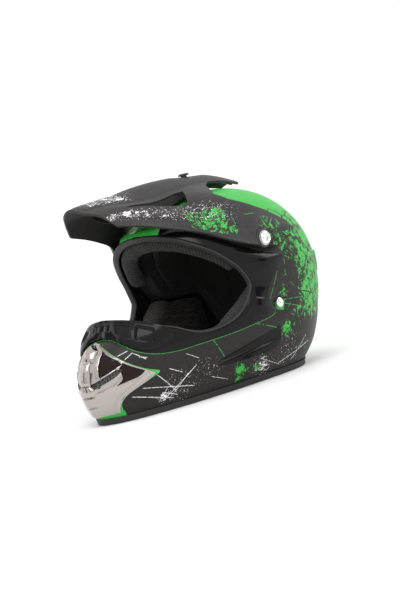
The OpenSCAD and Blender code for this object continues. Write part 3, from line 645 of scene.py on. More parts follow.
def dark_card(name, place, size):
    """A dark card beside the object, for the black lines that a bright room leaves out of its reflections."""
    c = Vector(place)
    out = (TARGET - c).normalized()
    side = out.cross(Vector((0, 0, 1))).normalized()
    up = side.cross(out)
    corners = [c + side * (i * size[0] / 2) + up * (j * size[1] / 2)
               for i, j in ((-1, -1), (1, -1), (1, 1), (-1, 1))]
    mesh = bpy.data.meshes.new(name)
    mesh.from_pydata(corners, [], [(0, 1, 2, 3)])
    card = bpy.data.objects.new(name, mesh)
    bpy.context.scene.collection.objects.link(card)
    m = Nodes(name)
    m.set(Base_Color=m.mix(m.noise(3, 2), (0.012, 0.012, 0.012), (0.02, 0.02, 0.02)), Roughness=0.9)
    card.data.materials.append(m.mat)
    card.visible_camera = False
    card.visible_shadow = False
    card.visible_diffuse = False


# ---- Shell ----

def eased(lo, hi, n, p=1.0):
    return lo + (hi - lo) * (1 - (1 - np.linspace(0, 1, n)) ** p)


def blob(P, centre, radius):
    """1 at a place on the shell, falling to 0 at the radius (millimetres)."""
    r = np.linalg.norm(P - np.asarray(centre, float), axis=-1)
    return smooth(radius, 0, r)


def side_line(P, points):
    """Distance in the side view from the line through points (y, z), on the wearer's left and right."""
    q = P[..., 1:3]
    best = np.full(q.shape[:-1], 1e9)
    for a, b in zip(points[:-1], points[1:]):
        a, b = np.asarray(a, float), np.asarray(b, float)
        t = np.clip(((q - a) @ (b - a)) / ((b - a) @ (b - a)), 0, 1)
        best = np.minimum(best, np.linalg.norm(q - (a + t[..., None] * (b - a)), axis=-1))
    return best



def paint_zones(a, P):
    """Where the shell's green, its white marks and its veins are, for the lacquer."""
    turn = np.abs(a)
    y, h = P[..., 1], P[..., 2]
    Q = np.stack([np.abs(P[..., 0]), y, h], -1)
    crown = 1.2 * smooth(176, 224, h + 0.2 * (y - CROWN_Y))
    back = (0.56 * smooth(86, 106, turn) + 0.2 * smooth(128, 160, turn)) * smooth(30, 76, h)
    green = np.maximum(crown, back)
    brow = smooth(34, 22, turn) * smooth(196, 206, h) * (y < CROWN_Y)
    green = np.maximum(green, 1.6 * brow)
    for centre, radius, share in (((109, 54, 55), 26, 0.66), ((90, -24, 22), 30, 0.62),
                                  ((92, 4, 20), 26, 0.5),
                                  ((119, 50, 101), 22, 0.52), ((112, 76, 76), 34, 0.46),
                                  ((108, 70, 150), 40, 0.52), ((95, 92, 30), 26, 0.42)):
        green = np.maximum(green, share * blob(Q, centre, radius))
    green = np.maximum(green, 1.6 * blob(Q, (117, ANCHOR[0] + 1, ANCHOR[1] - 3), 12))
    green = np.maximum(green, 2.0 * smooth(15.5, 14.5, h) * smooth(19.5, 18.5, turn))
    white = np.zeros_like(green)
    for centre, radius, share in (((59, -126, 18), 17, 0.55), ((70, -104, 22), 42, 0.3),
                                  ((92, 14, 19), 30, 0.5),
                                  ((96, 60, 30), 44, 0.3), ((84, -70, 34), 40, 0.22)):
        white = np.maximum(white, share * blob(Q, centre, radius))
    veins = smooth(78, 96, turn) * smooth(40, 60, h)
    return {"green": green, "white": white, "veins": veins}


def shell_relief(a, z, P):
    """How far the laminate stands out of its plain surface: a dimple at the strap anchor and raised creases.
    """
    lift = np.zeros(P.shape[:-1])
    x = np.abs(P[..., 0])
    Q = np.stack([x, P[..., 1], P[..., 2]], -1)
    lift -= 2.2 * blob(Q, (117, ANCHOR[0], ANCHOR[1]), 13)
    crease = side_line(Q, [(-70, 46), (-20, 57), (30, 66), (78, 84)])
    lift += 1.2 * smooth(9, 0, crease) * smooth(45, 70, np.abs(a))
    low = side_line(Q, [(-95, 33), (-50, 38), (0, 41), (36, 44)])
    lift += 1.5 * smooth(6, 0, low) * smooth(50, 64, np.abs(a))
    return lift


def build_shell():
    half = np.concatenate([eased(0, 70, 56, 1.35), eased(70, 90, 14)[1:], eased(90, 180, 50)[1:]])
    cols = np.concatenate([half, 360 - half[-2:0:-1]])
    turn = np.where(cols > 180, cols - 360, cols)
    low, high = look(PORT_LOW, np.minimum(70, np.abs(turn))), look(PORT_HIGH, np.minimum(70, np.abs(turn)))
    n_low, n_side, n_dome = 40, 28, 54
    rows = [4.5 + (low - 4.5) * t for t in np.linspace(0, 1, n_low + 1)]
    rows += [low + (high - low) * t for t in np.linspace(0, 1, n_side + 1)[1:]]
    start = np.maximum(high, BELT)
    rows += [np.where(high < BELT, np.maximum(dome_z(start, t), high), dome_z(high, t))
             for t in np.linspace(0, 1, n_dome + 1)[1:]]
    Z = np.stack(rows, 1)
    A = np.repeat(turn[:, None], Z.shape[1], 1)
    P = skin(A, Z)
    N = skin_normal(A, np.minimum(Z, CROWN - 0.6))
    N[:, -1] = (0, 0, 1)
    P = P + N * (shell_relief(A, Z, P) * (Z < CROWN - 2))[..., None]
    keep = np.ones((len(turn), Z.shape[1] - 1), bool)
    middle = (turn + np.roll(turn, -1)) / 2
    middle = np.abs(np.where(np.abs(middle) > 175, 180, middle))
    keep[np.ix_(middle < 70, range(n_low, n_low + n_side))] = False
    keep[np.ix_(middle < 7.5, range(17, 29))] = False
    shell = sheet("shell", P, skin(A, Z, WALL), keep, wrap=True, attributes=paint_zones(A, P))
    dress(shell, "shell", stands_for=("outer_shell",))


def edge_at(t, points=EDGE):
    t = np.asarray(t, float) % 1.0
    p = through(points, np.where(t < 0.5, 2 * t, 2 - 2 * t))
    return np.where(t < 0.5, p[..., 0], -p[..., 0]), p[..., 1]


def edge_frame(t, points=EDGE):
    a, z = edge_at(t, points)
    b, q = edge_at(t + 0.004, points)
    c, r = edge_at(t - 0.004, points)
    n = skin_normal(a, z)
    run = unit(skin(b, q) - skin(c, r))
    return skin(a, z), unit(np.cross(run, n)), n


def edge_rings(ts, profile, points=EDGE):
    P, across, n = edge_frame(ts, points)
    return np.stack([P + across * s[0] - n * s[1] for s in profile], 1)


def rounded(profile, steps=4):
    """A closed profile with its corners rounded by cutting them twice."""
    p = np.asarray(profile, float)
    for _ in range(steps):
        q = np.roll(p, -1, 0)
        p = np.stack([0.75 * p + 0.25 * q, 0.25 * p + 0.75 * q], 1).reshape(-1, 2)
    return p


def build_trims():
    profile = rounded([[-0.3, -1.2], [-2.0, -1.4], [-3.2, -0.4], [-3.5, 3.5], [-3.0, 7.4], [-0.4, 7.8]], 2)
    ts = (np.arange(260) + 0.5) / 260
    dress(tube("eye_port_moulding", edge_rings(ts, profile), loop=True, sharp=60), "rubber",
          stands_for=("eyeport_trim",))
    corner = rounded([[-2.2, 0.4], [-2.2, 7], [-0.3, 7.4], [-0.3, 4.2], [4.3, 4.2], [4.3, 7.4], [6.4, 7.2],
                      [6.4, 0.0], [2.0, -0.1], [-1.0, 0.0]], 2)
    angles = np.arange(0, 360, 1.5)
    rings = []
    for d, z in corner:
        q = skin(angles, max(4.5, z), d)
        rings.append(np.stack([q[:, 0], q[:, 1], np.full(len(angles), max(0.0, z))], -1))
    dress(tube("rim_moulding", np.stack(rings, 1), loop=True, sharp=50), "rubber",
          stands_for=("rim_trim",))


def build_surround():
    n = 420
    across = np.array([0, 0.04, 0.1, 0.2, 0.32, 0.45, 0.58, 0.7, 0.8, 0.88, 0.94, 0.98, 1.0])
    ts = (np.arange(n) + 0.5) / n
    T, K = to_grid(ts, across)
    ea, ez = edge_at(T)
    ba, bz = edge_at(T, BORDER)
    A, Z = ea + (ba - ea) * K, ez + (bz - ez) * K
    s = np.where(T < 0.5, 2 * T, 2 - 2 * T) * (len(BORDER) - 1)
    bowl = np.sin(np.pi * np.clip(K, 0, 1)) ** 0.7
    lift = 0.5 + 1.1 * bowl
    for at, wide, high in ((12.0, 1.5, 4.2), (9.2, 1.3, 3.6)):
        ridge = np.maximum(0, 1 - np.abs(s - at) / wide)
        lift += high * ridge ** 1.2 * np.sin(np.pi * np.clip(K, 0, 1) ** 0.8) ** 0.9
    lift = np.where((s > 9.8) & (s < 11.4), lift - 1.1 * bowl, lift)
    lift = np.maximum(lift, 0.35)
    obj = sheet("goggle_surround", under(A, Z, -0.25 - lift), under(A, Z, -0.2 * np.ones_like(A)), wrap=True,
                sharp=24)
    dress(obj, "gloss", stands_for=("eyeport_surround",))
    # Light green lip above the middle of the eye port
    ta = np.linspace(-26, 26, 90)
    strip = np.linspace(0, 1, 8)
    TA, K = to_grid(ta, strip)
    Z = look(PORT_HIGH, np.abs(TA)) + 0.6 + 6.2 * K
    lift = 2.0 + 1.2 * np.sin(np.pi * K)
    fade = smooth(26, 20, np.abs(TA))
    obj = sheet("brow_lip", under(TA, Z, -lift * fade - 0.4), under(TA, Z, -0.3 * np.ones_like(TA)))
    dress(obj, "green")


def build_deflector():
    A, T = to_grid(np.linspace(-42, 42, 170), np.linspace(0, 1, 46))
    low = look(DEFLECTOR_LOW, np.abs(A))
    high = look(PORT_LOW, np.abs(A)) - 1.2
    Z = low + (high - low) * T
    hood = 7 * np.maximum(0, 1 - (A / 30) ** 2) ** 1.5
    lift = 3.6 + (7.5 * (1 - np.abs(A / 42) ** 4 * 0.7) + hood) * T ** 0.9
    # Recesses along the top, with ribs between them
    for centre, wide in ((0, 7.5), (16, 5.6), (-16, 5.6), (29, 5.2), (-29, 5.2)):
        u, v = (A - centre) / wide, (T - 0.6) / 0.28
        box = smooth(1.0, 0.78, np.abs(u + 0.35 * np.sign(centre) * v * 0.8)) * smooth(1.0, 0.75, np.abs(v))
        lift -= 3.4 * box
    obj = sheet("chin_deflector_cap", under(A, Z, -lift), under(A, Z, -2.4 * np.ones_like(A)), sharp=40)
    dress(obj, "gloss", stands_for=("chin_deflector",))


# ---- Chin guard and vents ----

def guard_sheet(name, s_lo, s_hi, z_lo, z_hi, lift, back, fields=(), n=(120, 110), **more):
    U, V = to_grid(np.linspace(s_lo, s_hi, n[0]), np.linspace(0, 1, n[1]))
    keep = None
    height = lambda v: z_lo + (z_hi - z_lo) * v
    if fields:
        field = lambda u, v: np.min([f(u, height(v)) for f in fields], axis=0)
        U, V, keep = cut_out(U, V, field)
    Z = height(V)
    A = U * look(GUARD, Z)
    return sheet(name, under(A, Z, -lift(U, Z)), under(A, Z, -back * np.ones_like(A)), keep, **more)


def guard_lift(s, z):
    """The guard stands out along its keel, with a raised rim and steps round its openings."""
    m = np.abs(s)
    lift = 3.2 + 3.4 * (1 - np.minimum(1, m)) ** 2
    lift = lift - 0.9 * smooth(0.80, 0.86, m) * smooth(1.0, 0.93, m)
    wing = outline_distance(WING_WINDOW, m, z * WINDOW_SCALE)
    upper = outline_distance(UPPER_WINDOW, m, z * WINDOW_SCALE)
    flute = outline_distance(FLUTE, m, z * WINDOW_SCALE)
    lift = lift - 1.3 * smooth(0.02, -0.03, flute)
    for d in (wing, upper):
        lift = lift + 0.55 * smooth(0.075, 0.045, d) * smooth(0.0, 0.02, d)
    return lift


WINDOW_SCALE = 0.028
# Outlines as (share of the guard's half width, height), with the heights scaled to match
WING_WINDOW = np.array([[.58, 45.6], [.80, 50.0], [.965, 55.6], [.955, 62], [.94, 68.4], [.77, 63.2]])
UPPER_WINDOW = np.array([[.34, 57.6], [.88, 67.8], [.93, 72.6], [.80, 84.5], [.54, 78], [.40, 69]])
MESH_SLOT = np.array([[.13, 50.8], [.20, 46.2], [.60, 56.2], [.78, 62.4], [.68, 62.0], [.36, 55.4]])
FLUTE = np.array([[.22, 41.0], [.34, 42.0], [.52, 46.4], [.70, 57.6], [.46, 50.4]])
for outline in (WING_WINDOW, UPPER_WINDOW, MESH_SLOT, FLUTE):
    outline[:, 1] *= WINDOW_SCALE


def build_guard():
    def openings(s, z):
        m, q = np.abs(s), z * WINDOW_SCALE
        outlines = (WING_WINDOW, UPPER_WINDOW, MESH_SLOT)
        return np.min([outline_distance(o, m, q) - 0.012 for o in outlines], axis=0)

    guard = guard_sheet("guard", -1, 1, 13.6, 93, guard_lift, 0.6, (openings,), (190, 170),
                        sharp=30, bevel=0.3)
    dress(guard, "chrome", stands_for=("chin_guard",))
    lens = lambda s, z: 2.5 + 0.9 * (1 - np.minimum(1, np.abs(s))) ** 2

    def pane(name, side, outline, margin=0.05):
        inside = lambda s, z: margin - outline_distance(outline, np.abs(s), z * WINDOW_SCALE)
        lo, hi = outline.min(0) - margin * 1.2, outline.max(0) + margin * 1.2
        s0, s1 = sorted((side * max(lo[0], 0.02), side * min(hi[0], 0.985)))
        z0, z1 = lo[1] / WINDOW_SCALE, hi[1] / WINDOW_SCALE
        return guard_sheet(name, s0, s1, z0, z1, lens, 1.0, (inside,), (40, 34))

    panes = [pane("pane", side, o) for side in (-1, 1) for o in (WING_WINDOW, UPPER_WINDOW)]
    dress(joined("guard_windows", panes), "smoke", stands_for=("chin_guard_lenses",))
    meshes = [pane("louvre", side, MESH_SLOT, 0.02) for side in (-1, 1)]
    dress(joined("guard_mesh", meshes), "mesh", stands_for=("chin_guard_mesh",))
    # Green edging beside the guard, from its top to the corners below it
    rows = np.linspace(13, 93, 160)
    for side, label in ((-1, "right"), (1, "left")):
        Z, W = to_grid(rows, np.linspace(0, 1, 4))
        wide = 0.55 + 1.5 * smooth(8, 0, np.abs(Z - 50)) + 0.8 * smooth(24, 14, Z)
        A = side * (look(GUARD, Z) + (wide * W + 0.1) * (1 + 0.0 * Z))
        edging = sheet("guard_edging_" + label, under(A, Z, -0.8 * np.ones_like(A)),
                       under(A, Z, -0.1 * np.ones_like(A)))
        dress(edging, "green")
    # Fine green line along the surround's border
    T, K = to_grid(np.linspace(-0.237, 0.237, 520), np.linspace(-0.26, 0.26, 4))
    P, across, n = edge_frame(T[:, :1] % 1.0, BORDER)
    line = P + across * (K[..., None] + 0.6) + n * 0.35
    dress(sheet("pinstripe", line, line - n * 0.4), "green")


def joined(name, objects):
    """One object made of several, each left where it is."""
    bm = bmesh.new()
    mesh = bpy.data.meshes.new(name)
    for o in objects:
        bm.from_mesh(o.data)
    bm.to_mesh(mesh)
    bm.free()
    for o in objects:
        bpy.data.objects.remove(o)
    obj = bpy.data.objects.new(name, mesh)
    bpy.context.scene.collection.objects.link(obj)
    return obj


def lathe(name, profile, axis_from, axis_to, segments=64, **more):
    """Turned solid: the profile of [distance along, radius] round the line from one point on."""
    a, b = np.asarray(axis_from, float), np.asarray(axis_to, float)
    n = unit(b - a)
    u = unit(np.cross(n, (0.0, 0.0, 1.0) if abs(n[2]) < 0.9 else (0.0, 1.0, 0.0)))
    v = np.cross(n, u)
    t = np.linspace(0, 2 * np.pi, segments, endpoint=False)
    ring = np.cos(t)[:, None] * u + np.sin(t)[:, None] * v
    rings = [a + n * h + ring * max(r, 0.02) for h, r in profile]
    return tube(name, rings, **more)


def build_spine():
    """Keel of the guard: a round nose, a long fluted body and a stepped foot."""
    X, Z = to_grid(np.linspace(-1, 1, 41), np.linspace(17, 91.5, 170))
    high = 4.8 * np.sqrt(np.maximum(0, 1 - ((Z - 82) / 8.6) ** 2))
    high = np.maximum(high, 3.6 * np.maximum(0, 1 - ((Z - 62) / 12.2) ** 4) ** 0.5)
    high = np.maximum(high, 2.6 * smooth(49.8, 49.2, Z) * smooth(38, 39, Z))
    high = np.maximum(high, 1.7 * smooth(37.4, 36.8, Z) * smooth(26, 27, Z))
    high = np.maximum(high, 1.0 * smooth(25.4, 24.8, Z)) + 0.25
    wide = 5.4 * smooth(93, 84, Z) + 0.7
    body = 3.6 + 0.9 * smooth(74, 60, Z) + 2.4 * smooth(50, 44, Z) - 2.2 * smooth(36, 18, Z)
    wide = np.where(Z < 74, body, wide)
    shape = np.sqrt(np.maximum(0, 1 - np.abs(X) ** 2.4))
    s = np.abs(X) * wide / look(GUARD, Z)
    base = 3.2 + 3.4 * (1 - np.minimum(1, s)) ** 2
    outer = under(X * wide, Z, -(base + high * shape + 0.05))
    keel = sheet("guard_keel", outer, under(X * wide, Z, -(base - 0.8)), sharp=32)
    dress(keel, "chrome", stands_for=("chin_guard_spine",))


def build_side_vent():
    """Scoop low on each side: a gloss lip that rises towards the back over a dark mouth."""
    for side, label in ((1, "left"), (-1, "right")):
        I, T = to_grid(np.linspace(0, 1, 60), np.linspace(0, 1, 26))
        a = 60 + 24 * I
        top = 41 + 21 * I ** 0.9
        low = 36 + 2 * I
        Z = low + (top - low) * T
        shape = np.maximum(0, I * (1.02 - I) * 4) ** 0.6
        lift = 0.9 + 5.2 * shape * (1 - T) ** 1.3 - 3.4 * shape * smooth(0.3, 0.5, T) * smooth(1, 0.86, T)
        lift = np.maximum(lift, 0.5)
        P, Q = under(a, Z, -lift), under(a, Z, -0.3 * np.ones_like(a))
        P[..., 0] *= side
        Q[..., 0] *= side
        dress(sheet("side_scoop_" + label, P, Q, sharp=40), "gloss",
              stands_for=("side_vent_" + label,))


def build_rear_vent():
    A, Z = to_grid(np.linspace(134, 226, 180), np.linspace(112, 138, 50))
    i, j = (A - 134) / 92, (Z - 112) / 26
    lift = 0.8 + 5 * np.maximum(0, np.sin(np.pi * i)) ** 0.4 * j ** 0.8
    for c in (0.3, 0.4, 0.5, 0.6, 0.7):
        slot = smooth(0.034, 0.022, np.abs(i - c)) * smooth(0.2, 0.3, j) * smooth(0.95, 0.85, j)
        lift = lift - 3.0 * slot * (lift - 0.6) / 5
    lift = np.maximum(lift, 0.55)
    obj = sheet("rear_exhaust", under(A, Z, -lift), under(A, Z, -0.3 * np.ones_like(A)), sharp=35)
    dress(obj, "green", stands_for=("rear_vent",))


# ---- Peak ----

def peak_point(u, v):
    u, v = np.broadcast_arrays(np.asarray(u, float), np.asarray(v, float))
    m = np.abs(u)
    rails = [through(r, v) for r in (ARM_LOW, ARM_TOP, SPINE_EDGE, CREST)]
    rails += [r * [-1, 1, 1] for r in rails[2::-1]]
    R = np.stack(rails)
    s = np.clip((1 - u) / 2 * 6, 0, 6 - 1e-6)
    i = np.floor(s).astype(int)
    f = (s - i)[..., None]
    pick = lambda k: np.take_along_axis(R, np.clip(k, 0, 6)[None, ..., None], 0)[0]
    a, b, c, d = pick(i - 1), pick(i), pick(i + 1), pick(i + 2)
    p = 0.5 * (2 * b + (c - a) * f + (2 * a - 5 * b + 4 * c - d) * f**2 + (3 * b - a - 3 * c + d) * f**3)
    e = np.where(m > 2 / 3, 15 * np.maximum(0, np.sin(3 * np.pi * (m - 2 / 3))) ** 0.8
                 * np.maximum(0, v - 0.85) / 0.15, 0)
    return p + np.stack([0 * e, CROWN_Y + 0.9 * e, -0.35 * e], -1)


def peak_normal(u, v):
    s = 0.006
    a, b = np.minimum(1, u + s), np.maximum(-1, u - s)
    c, d = np.minimum(1, v + s), np.maximum(0, v - s)
    return unit(np.cross(peak_point(b, v) - peak_point(a, v), peak_point(u, c) - peak_point(u, d)))


def peak_zones(U, V):
    m = np.abs(U)
    arm = smooth(0.70, 0.76, m)
    green = 0.50 * arm * smooth(0.42, 0.56, V) * smooth(0.86, 0.70, V) * smooth(0.99, 0.93, m)
    green = np.maximum(green, 0.42 * arm * smooth(0.8, 0.9, V))
    white = 0.44 * smooth(0.44, 0.3, V) * smooth(0.01, 0.1, V) * smooth(0.34, 0.2, m)
    band = smooth(0.14, 0.03, np.abs(m - 0.76))
    white = np.maximum(white, 0.44 * band * smooth(0.5, 0.24, V))
    white = np.maximum(white, 0.36 * band * smooth(0.84, 0.7, V))
    return {"green": green, "white": white, "veins": arm * smooth(0.75, 0.85, V)}


# The slots beside the spine, as (across, along) outlines
FRONT_SLOT = np.array([[.60, .215], [.50, .36], [.40, .57], [.405, .615], [.52, .605], [.625, .59],
                       [.652, .55], [.64, .46], [.622, .37]]) * [3, 4.6]
REAR_SLOT = np.array([[.345, .80], [.41, .77], [.58, .745], [.64, .78], [.668, .86], [.672, 1.2],
                      [.34, 1.2]]) * [3, 4.6]


def build_peak():
    us = np.concatenate([np.linspace(1, 2 / 3, 30), np.linspace(2 / 3, 1 / 3, 34)[1:],
                         np.linspace(1 / 3, 0, 22)[1:]])
    us = np.concatenate([us, -us[-2::-1]])
    U, V = to_grid(us, np.linspace(0, 1, 210))

    def solid(u, v):
        """Positive on the moulding; the slots and the space behind the webs are negative."""
        m = np.abs(u) * 3
        w = v * 4.6
        slot = outline_distance(FRONT_SLOT, m, w) - 0.03
        rear = outline_distance(REAR_SLOT, m, w) - 0.05
        q = peak_point(u, v)
        bolt = np.hypot(q[..., 1] - BOLT[0], q[..., 2] - BOLT[1])
        hole = np.where(np.abs(q[..., 0]) > 60, (bolt - 5.2) / 60, 1.0)
        along = np.clip(q[..., 1], TOP_SCREW_Y - 5, TOP_SCREW_Y + 10.8)
        top = np.where(q[..., 2] > 225, (np.hypot(q[..., 0], q[..., 1] - along) - 4.6) / 60, 1.0)
        return np.minimum(np.minimum(slot, rear), np.minimum(hole, top))

    U, V, keep = cut_out(U, V, solid)
    P, N = peak_point(U, V), -peak_normal(U, V)
    m = np.abs(U)
    # Raised spine and a groove that follows the arm's lower edge
    lift = 1.0 * smooth(0.33, 0.26, m) * smooth(1.0, 0.9, V) * smooth(0, 0.06, V)
    lift = lift - 0.9 * smooth(0.035, 0.012, np.abs(m - 0.86)) * smooth(0.1, 0.2, V) * smooth(0.86, 0.76, V)
    near_screw = np.where(P[..., 2] > 225, np.hypot(P[..., 0], 0.5 * (P[..., 1] - TOP_SCREW_Y)), 99)
    lift = lift * smooth(9, 14, near_screw)
    bolt = np.linalg.norm(np.stack([P[..., 1] - BOLT[0], P[..., 2] - BOLT[1]], -1), axis=-1)
    lift = np.where((bolt < 9.8) & (m > 0.6), -1.6, lift)
    P2 = P + N * (3.0 + lift * 0.9)[..., None]
    Q = P
    side = np.sign(P[..., 0]) * (np.abs(P[..., 0]) > 60) * (bolt < 13) * (V > 0.8)
    P2[..., 0] = np.where(side != 0, np.sign(P[..., 0]) * np.minimum(np.abs(P2[..., 0]), 121.4), P2[..., 0])
    Q[..., 0] = np.where(side != 0, np.sign(P[..., 0]) * np.minimum(np.abs(Q[..., 0]), 118.5), Q[..., 0])
    peak = sheet("peak", P2, Q, keep, attributes=peak_zones(U, V), sharp=42, bevel=0.4)
    dress(peak, "peak", body="peak", stands_for=("visor",))
    for s, label in ((1, "left"), (-1, "right")):
        v, t = to_grid(np.linspace(0.22, 0.70, 80), np.linspace(0, 1, 6))
        across = through([[.60], [.56], [.50], [.44], [.40], [.375], [.36]], np.linspace(0, 1, 80))[:, 0]
        top = peak_point(s * across[:, None] + 0 * t, v)
        drop = 13 * np.sin(np.pi * np.linspace(0.03, 0.97, 80)) ** 0.6
        face = top + np.stack([-s * 2.0 * t, 0 * t, -drop[:, None] * t + 1.0], -1)
        rib = sheet("peak_rib_" + label, face, face - np.array([s * 2.0, 0, 0]), sharp=50)
        dress(rib, "peak", body="peak")
    parts = []
    for s in (-1, 1):
        parts.append(lathe("boss", [[0, 4.1], [0, 11], [0.6, 12], [5.6, 12], [6.0, 11.6], [6.0, 4.1]],
                           (s * 115.5, *BOLT), (s * 122, *BOLT), loop=True, sharp=30))
    dress(joined("peak_bosses", parts), "snap", body="peak")


def cut(obj, cutter):
    """Takes the cutter's solid out of obj for good."""
    m = obj.modifiers.new("cut", "BOOLEAN")
    m.operation, m.solver, m.object = "DIFFERENCE", "EXACT", cutter
    bake(obj)
    bpy.data.objects.remove(cutter)


def bake(obj):
    """Applies obj's modifiers to its mesh."""
    deps = bpy.context.evaluated_depsgraph_get()
    mesh = bpy.data.meshes.new_from_object(obj.evaluated_get(deps))
    obj.modifiers.clear()
    obj.data = mesh


def bar(name, centre, n, along, size):
    """Box of size (along, across, deep) with its long side on the direction given."""
    c, n, u = np.asarray(centre, float), unit(np.asarray(n, float)), unit(np.asarray(along, float))
    v = np.cross(n, u)
    corners = [c + u * i * size[0] / 2 + v * j * size[1] / 2 + n * k * size[2] / 2
               for k in (-1, 1) for i, j in ((-1, -1), (1, -1), (1, 1), (-1, 1))]
    faces = [(3, 2, 1, 0), (4, 5, 6, 7), (0, 1, 5, 4), (1, 2, 6, 5), (2, 3, 7, 6), (3, 0, 4, 7)]
    return make_object(name, corners, faces)


def coin_screw(name, centre, n, r, along, body, node, material="screw"):
    """Screw with a bevelled rim, a sunk ring and a coin slot, and its shaft below the head."""
    c, n = np.asarray(centre, float), unit(np.asarray(n, float))
    head = [[-12, 3.9], [-0.2, 3.9], [0, r - 0.4], [0.2, r], [1.5, r], [2.3, r - 0.5], [2.9, r - 1.3],
            [3.0, r - 1.8], [2.5, r - 2.2], [2.45, r - 3.0], [2.8, r - 3.3], [2.85, 0.1]]
    screw = lathe(name, head, c, c + n, 96, sharp=30)
    cut(screw, bar("slot", c + n * 3.0, n, along, (1.5 * r, 1.9, 2.2)))
    dress(screw, material, body=body, stands_for=(node,))
    b = screw.modifiers.new("edges", "BEVEL")
    b.width, b.segments, b.limit_method, b.angle_limit = 0.0002, 2, "ANGLE", math.radians(35)


def build_fasteners():
    for s, side in ((1, "left"), (-1, "right")):
        coin_screw("peak_screw_" + side, (s * 122.9, *BOLT), (s, 0, 0), 8.0, (0, 0.55, 0.84),
                   "screw_" + side, "visor_screw_" + side)
        profile = [[-9, 2.5], [-0.4, 2.5], [-0.2, 5.8], [0.2, 6], [0.9, 5.9], [1.5, 5.2], [1.8, 4.0],
                   [1.85, 0.1]]
        rivet = lathe("rivet_" + side, profile, (s * 117.6, *ANCHOR), (s * 118, *ANCHOR), 72, sharp=35)
        cut(rivet, lathe("dimple", [[-0.5, 1.2], [2, 1.6]], (s * 118.9, *ANCHOR), (s * 120, *ANCHOR), 48))
        dress(rivet, "screw", stands_for=("strap_rivet_" + side,))
    coin_screw("peak_screw_top", (0, TOP_SCREW_Y, 270.5), (0, 0, 1), 7.0, (0.6, 0.8, 0), "screw_top",
               "visor_screw_top", "snap")
    for node, material in (("visor_washers", "steel"), ("visor_nuts", "steel"), ("visor_spacer", "snap"),
                           ("strap_anchor_left", "steel"), ("strap_anchor_right", "steel"),
                           ("chin_guard_screws", "steel"), ("liner_snaps", "snap"), ("d_rings", "steel"),
                           ("strap_snap", "snap"), ("mouth_vent_foam", "filter")):
        dress_node(node, material)


# ---- Liners ----

def turned(columns=120):
    a = np.linspace(0, 360, columns, endpoint=False)
    return np.where(a > 180, a - 360, a)


def dome_grid(low, rows, columns):
    """Angles and heights of a grid from the edge called low, over the sides and the dome to the crown."""
    a = turned(columns)
    z0 = look(low, np.abs(a))
    cols = []
    for t in np.linspace(0, 1, rows):
        straight = z0 + (BELT + 1 - z0) * min(1, t * 4)
        above = dome_z(BELT + 1 + 0 * z0, max(0.0, (t - 0.25) / 0.75))
        from_belt = straight if t <= 0.25 else above
        cols.append(np.where(z0 < BELT, from_belt, dome_z(z0, t)))
    return np.repeat(a[:, None], rows, 1), np.stack(cols, 1)


def build_impact_liner():
    A, Z = dome_grid(FOAM_LOW, 40, 160)
    liner = sheet("impact_foam", skin(A, Z, 5.2), skin(A, Z, 31.4), wrap=True, sharp=40, bevel=0.8)
    dress(liner, "foam", stands_for=("impact_liner",))
    A, T = to_grid(np.linspace(-50, 50, 120), np.linspace(0, 1, 40))
    Z = 16 + (look(PORT_LOW, np.abs(A)) - 5 - 16) * T
    keep = ~((np.abs(A[:-1, :-1] + 0.42) < 9.6) & (T[:-1, :-1] > 0.335) & (T[:-1, :-1] < 0.655))
    P, Q = under(A, Z, 5.0 * np.ones_like(A)), under(A, Z, 17.8 * np.ones_like(A))
    chin = sheet("chin_foam_block", P, Q, keep, sharp=40, bevel=0.8)
    dress(chin, "foam", stands_for=("chin_foam",))


def puff(obj, voxel, cap, pressure=4.0):
    """Swells a padded piece with a short cloth simulation and leaves the result in its mesh."""
    remesh = obj.modifiers.new("even", "REMESH")
    remesh.mode, remesh.voxel_size = "VOXEL", voxel
    bake(obj)
    rest = np.empty(len(obj.data.vertices) * 3)
    obj.data.vertices.foreach_get("co", rest)
    cloth_on = obj.modifiers.new("swell", "CLOTH")
    setting = cloth_on.settings
    setting.use_pressure, setting.uniform_pressure_force = True, pressure
    setting.effector_weights.gravity = 0.0
    setting.quality = 5
    cloth_on.point_cache.frame_start, cloth_on.point_cache.frame_end = 1, 20
    for i in range(1, 21):
        bpy.context.scene.frame_set(i)
    deps = bpy.context.evaluated_depsgraph_get()
    moved = obj.evaluated_get(deps).to_mesh()
    place = np.empty(len(moved.vertices) * 3)
    moved.vertices.foreach_get("co", place)
    obj.evaluated_get(deps).to_mesh_clear()
    obj.modifiers.clear()
    step = (place - rest).reshape(-1, 3)
    far = np.linalg.norm(step, axis=1, keepdims=True)
    step *= np.minimum(1, cap * MM / np.maximum(far, 1e-9))
    obj.data.vertices.foreach_set("co", (rest.reshape(-1, 3) + step).ravel())
    obj.data.update()
    bpy.context.scene.frame_set(1)
    return obj


def finish_pad(obj, field=None, depth=1.4, attribute=None, levels=1):
    """Subdivides a pad, then sinks its seams and channels where field is 1."""
    sub = obj.modifiers.new("smooth", "SUBSURF")
    sub.levels = sub.render_levels = levels
    bake(obj)
    mesh = obj.data
    n = len(mesh.vertices)
    place, normal = np.empty(n * 3), np.empty(n * 3)
    mesh.vertices.foreach_get("co", place)
    mesh.vertices.foreach_get("normal", normal)
    P = place.reshape(-1, 3) / MM
    if field is not None:
        P = P - normal.reshape(-1, 3) * (field(P, normal.reshape(-1, 3)) * depth)[:, None]
        mesh.vertices.foreach_set("co", (P * MM).ravel())
    if attribute is not None:
        data = mesh.attributes.new(attribute[0], "FLOAT", "POINT").data
        data.foreach_set("value", np.asarray(attribute[1](P), np.float32))
    for poly in mesh.polygons:
        poly.use_smooth = True
    mesh.update()


def head_angle(P):
    return np.degrees(np.arctan2(P[:, 0], -(P[:, 1] - CROWN_Y)))


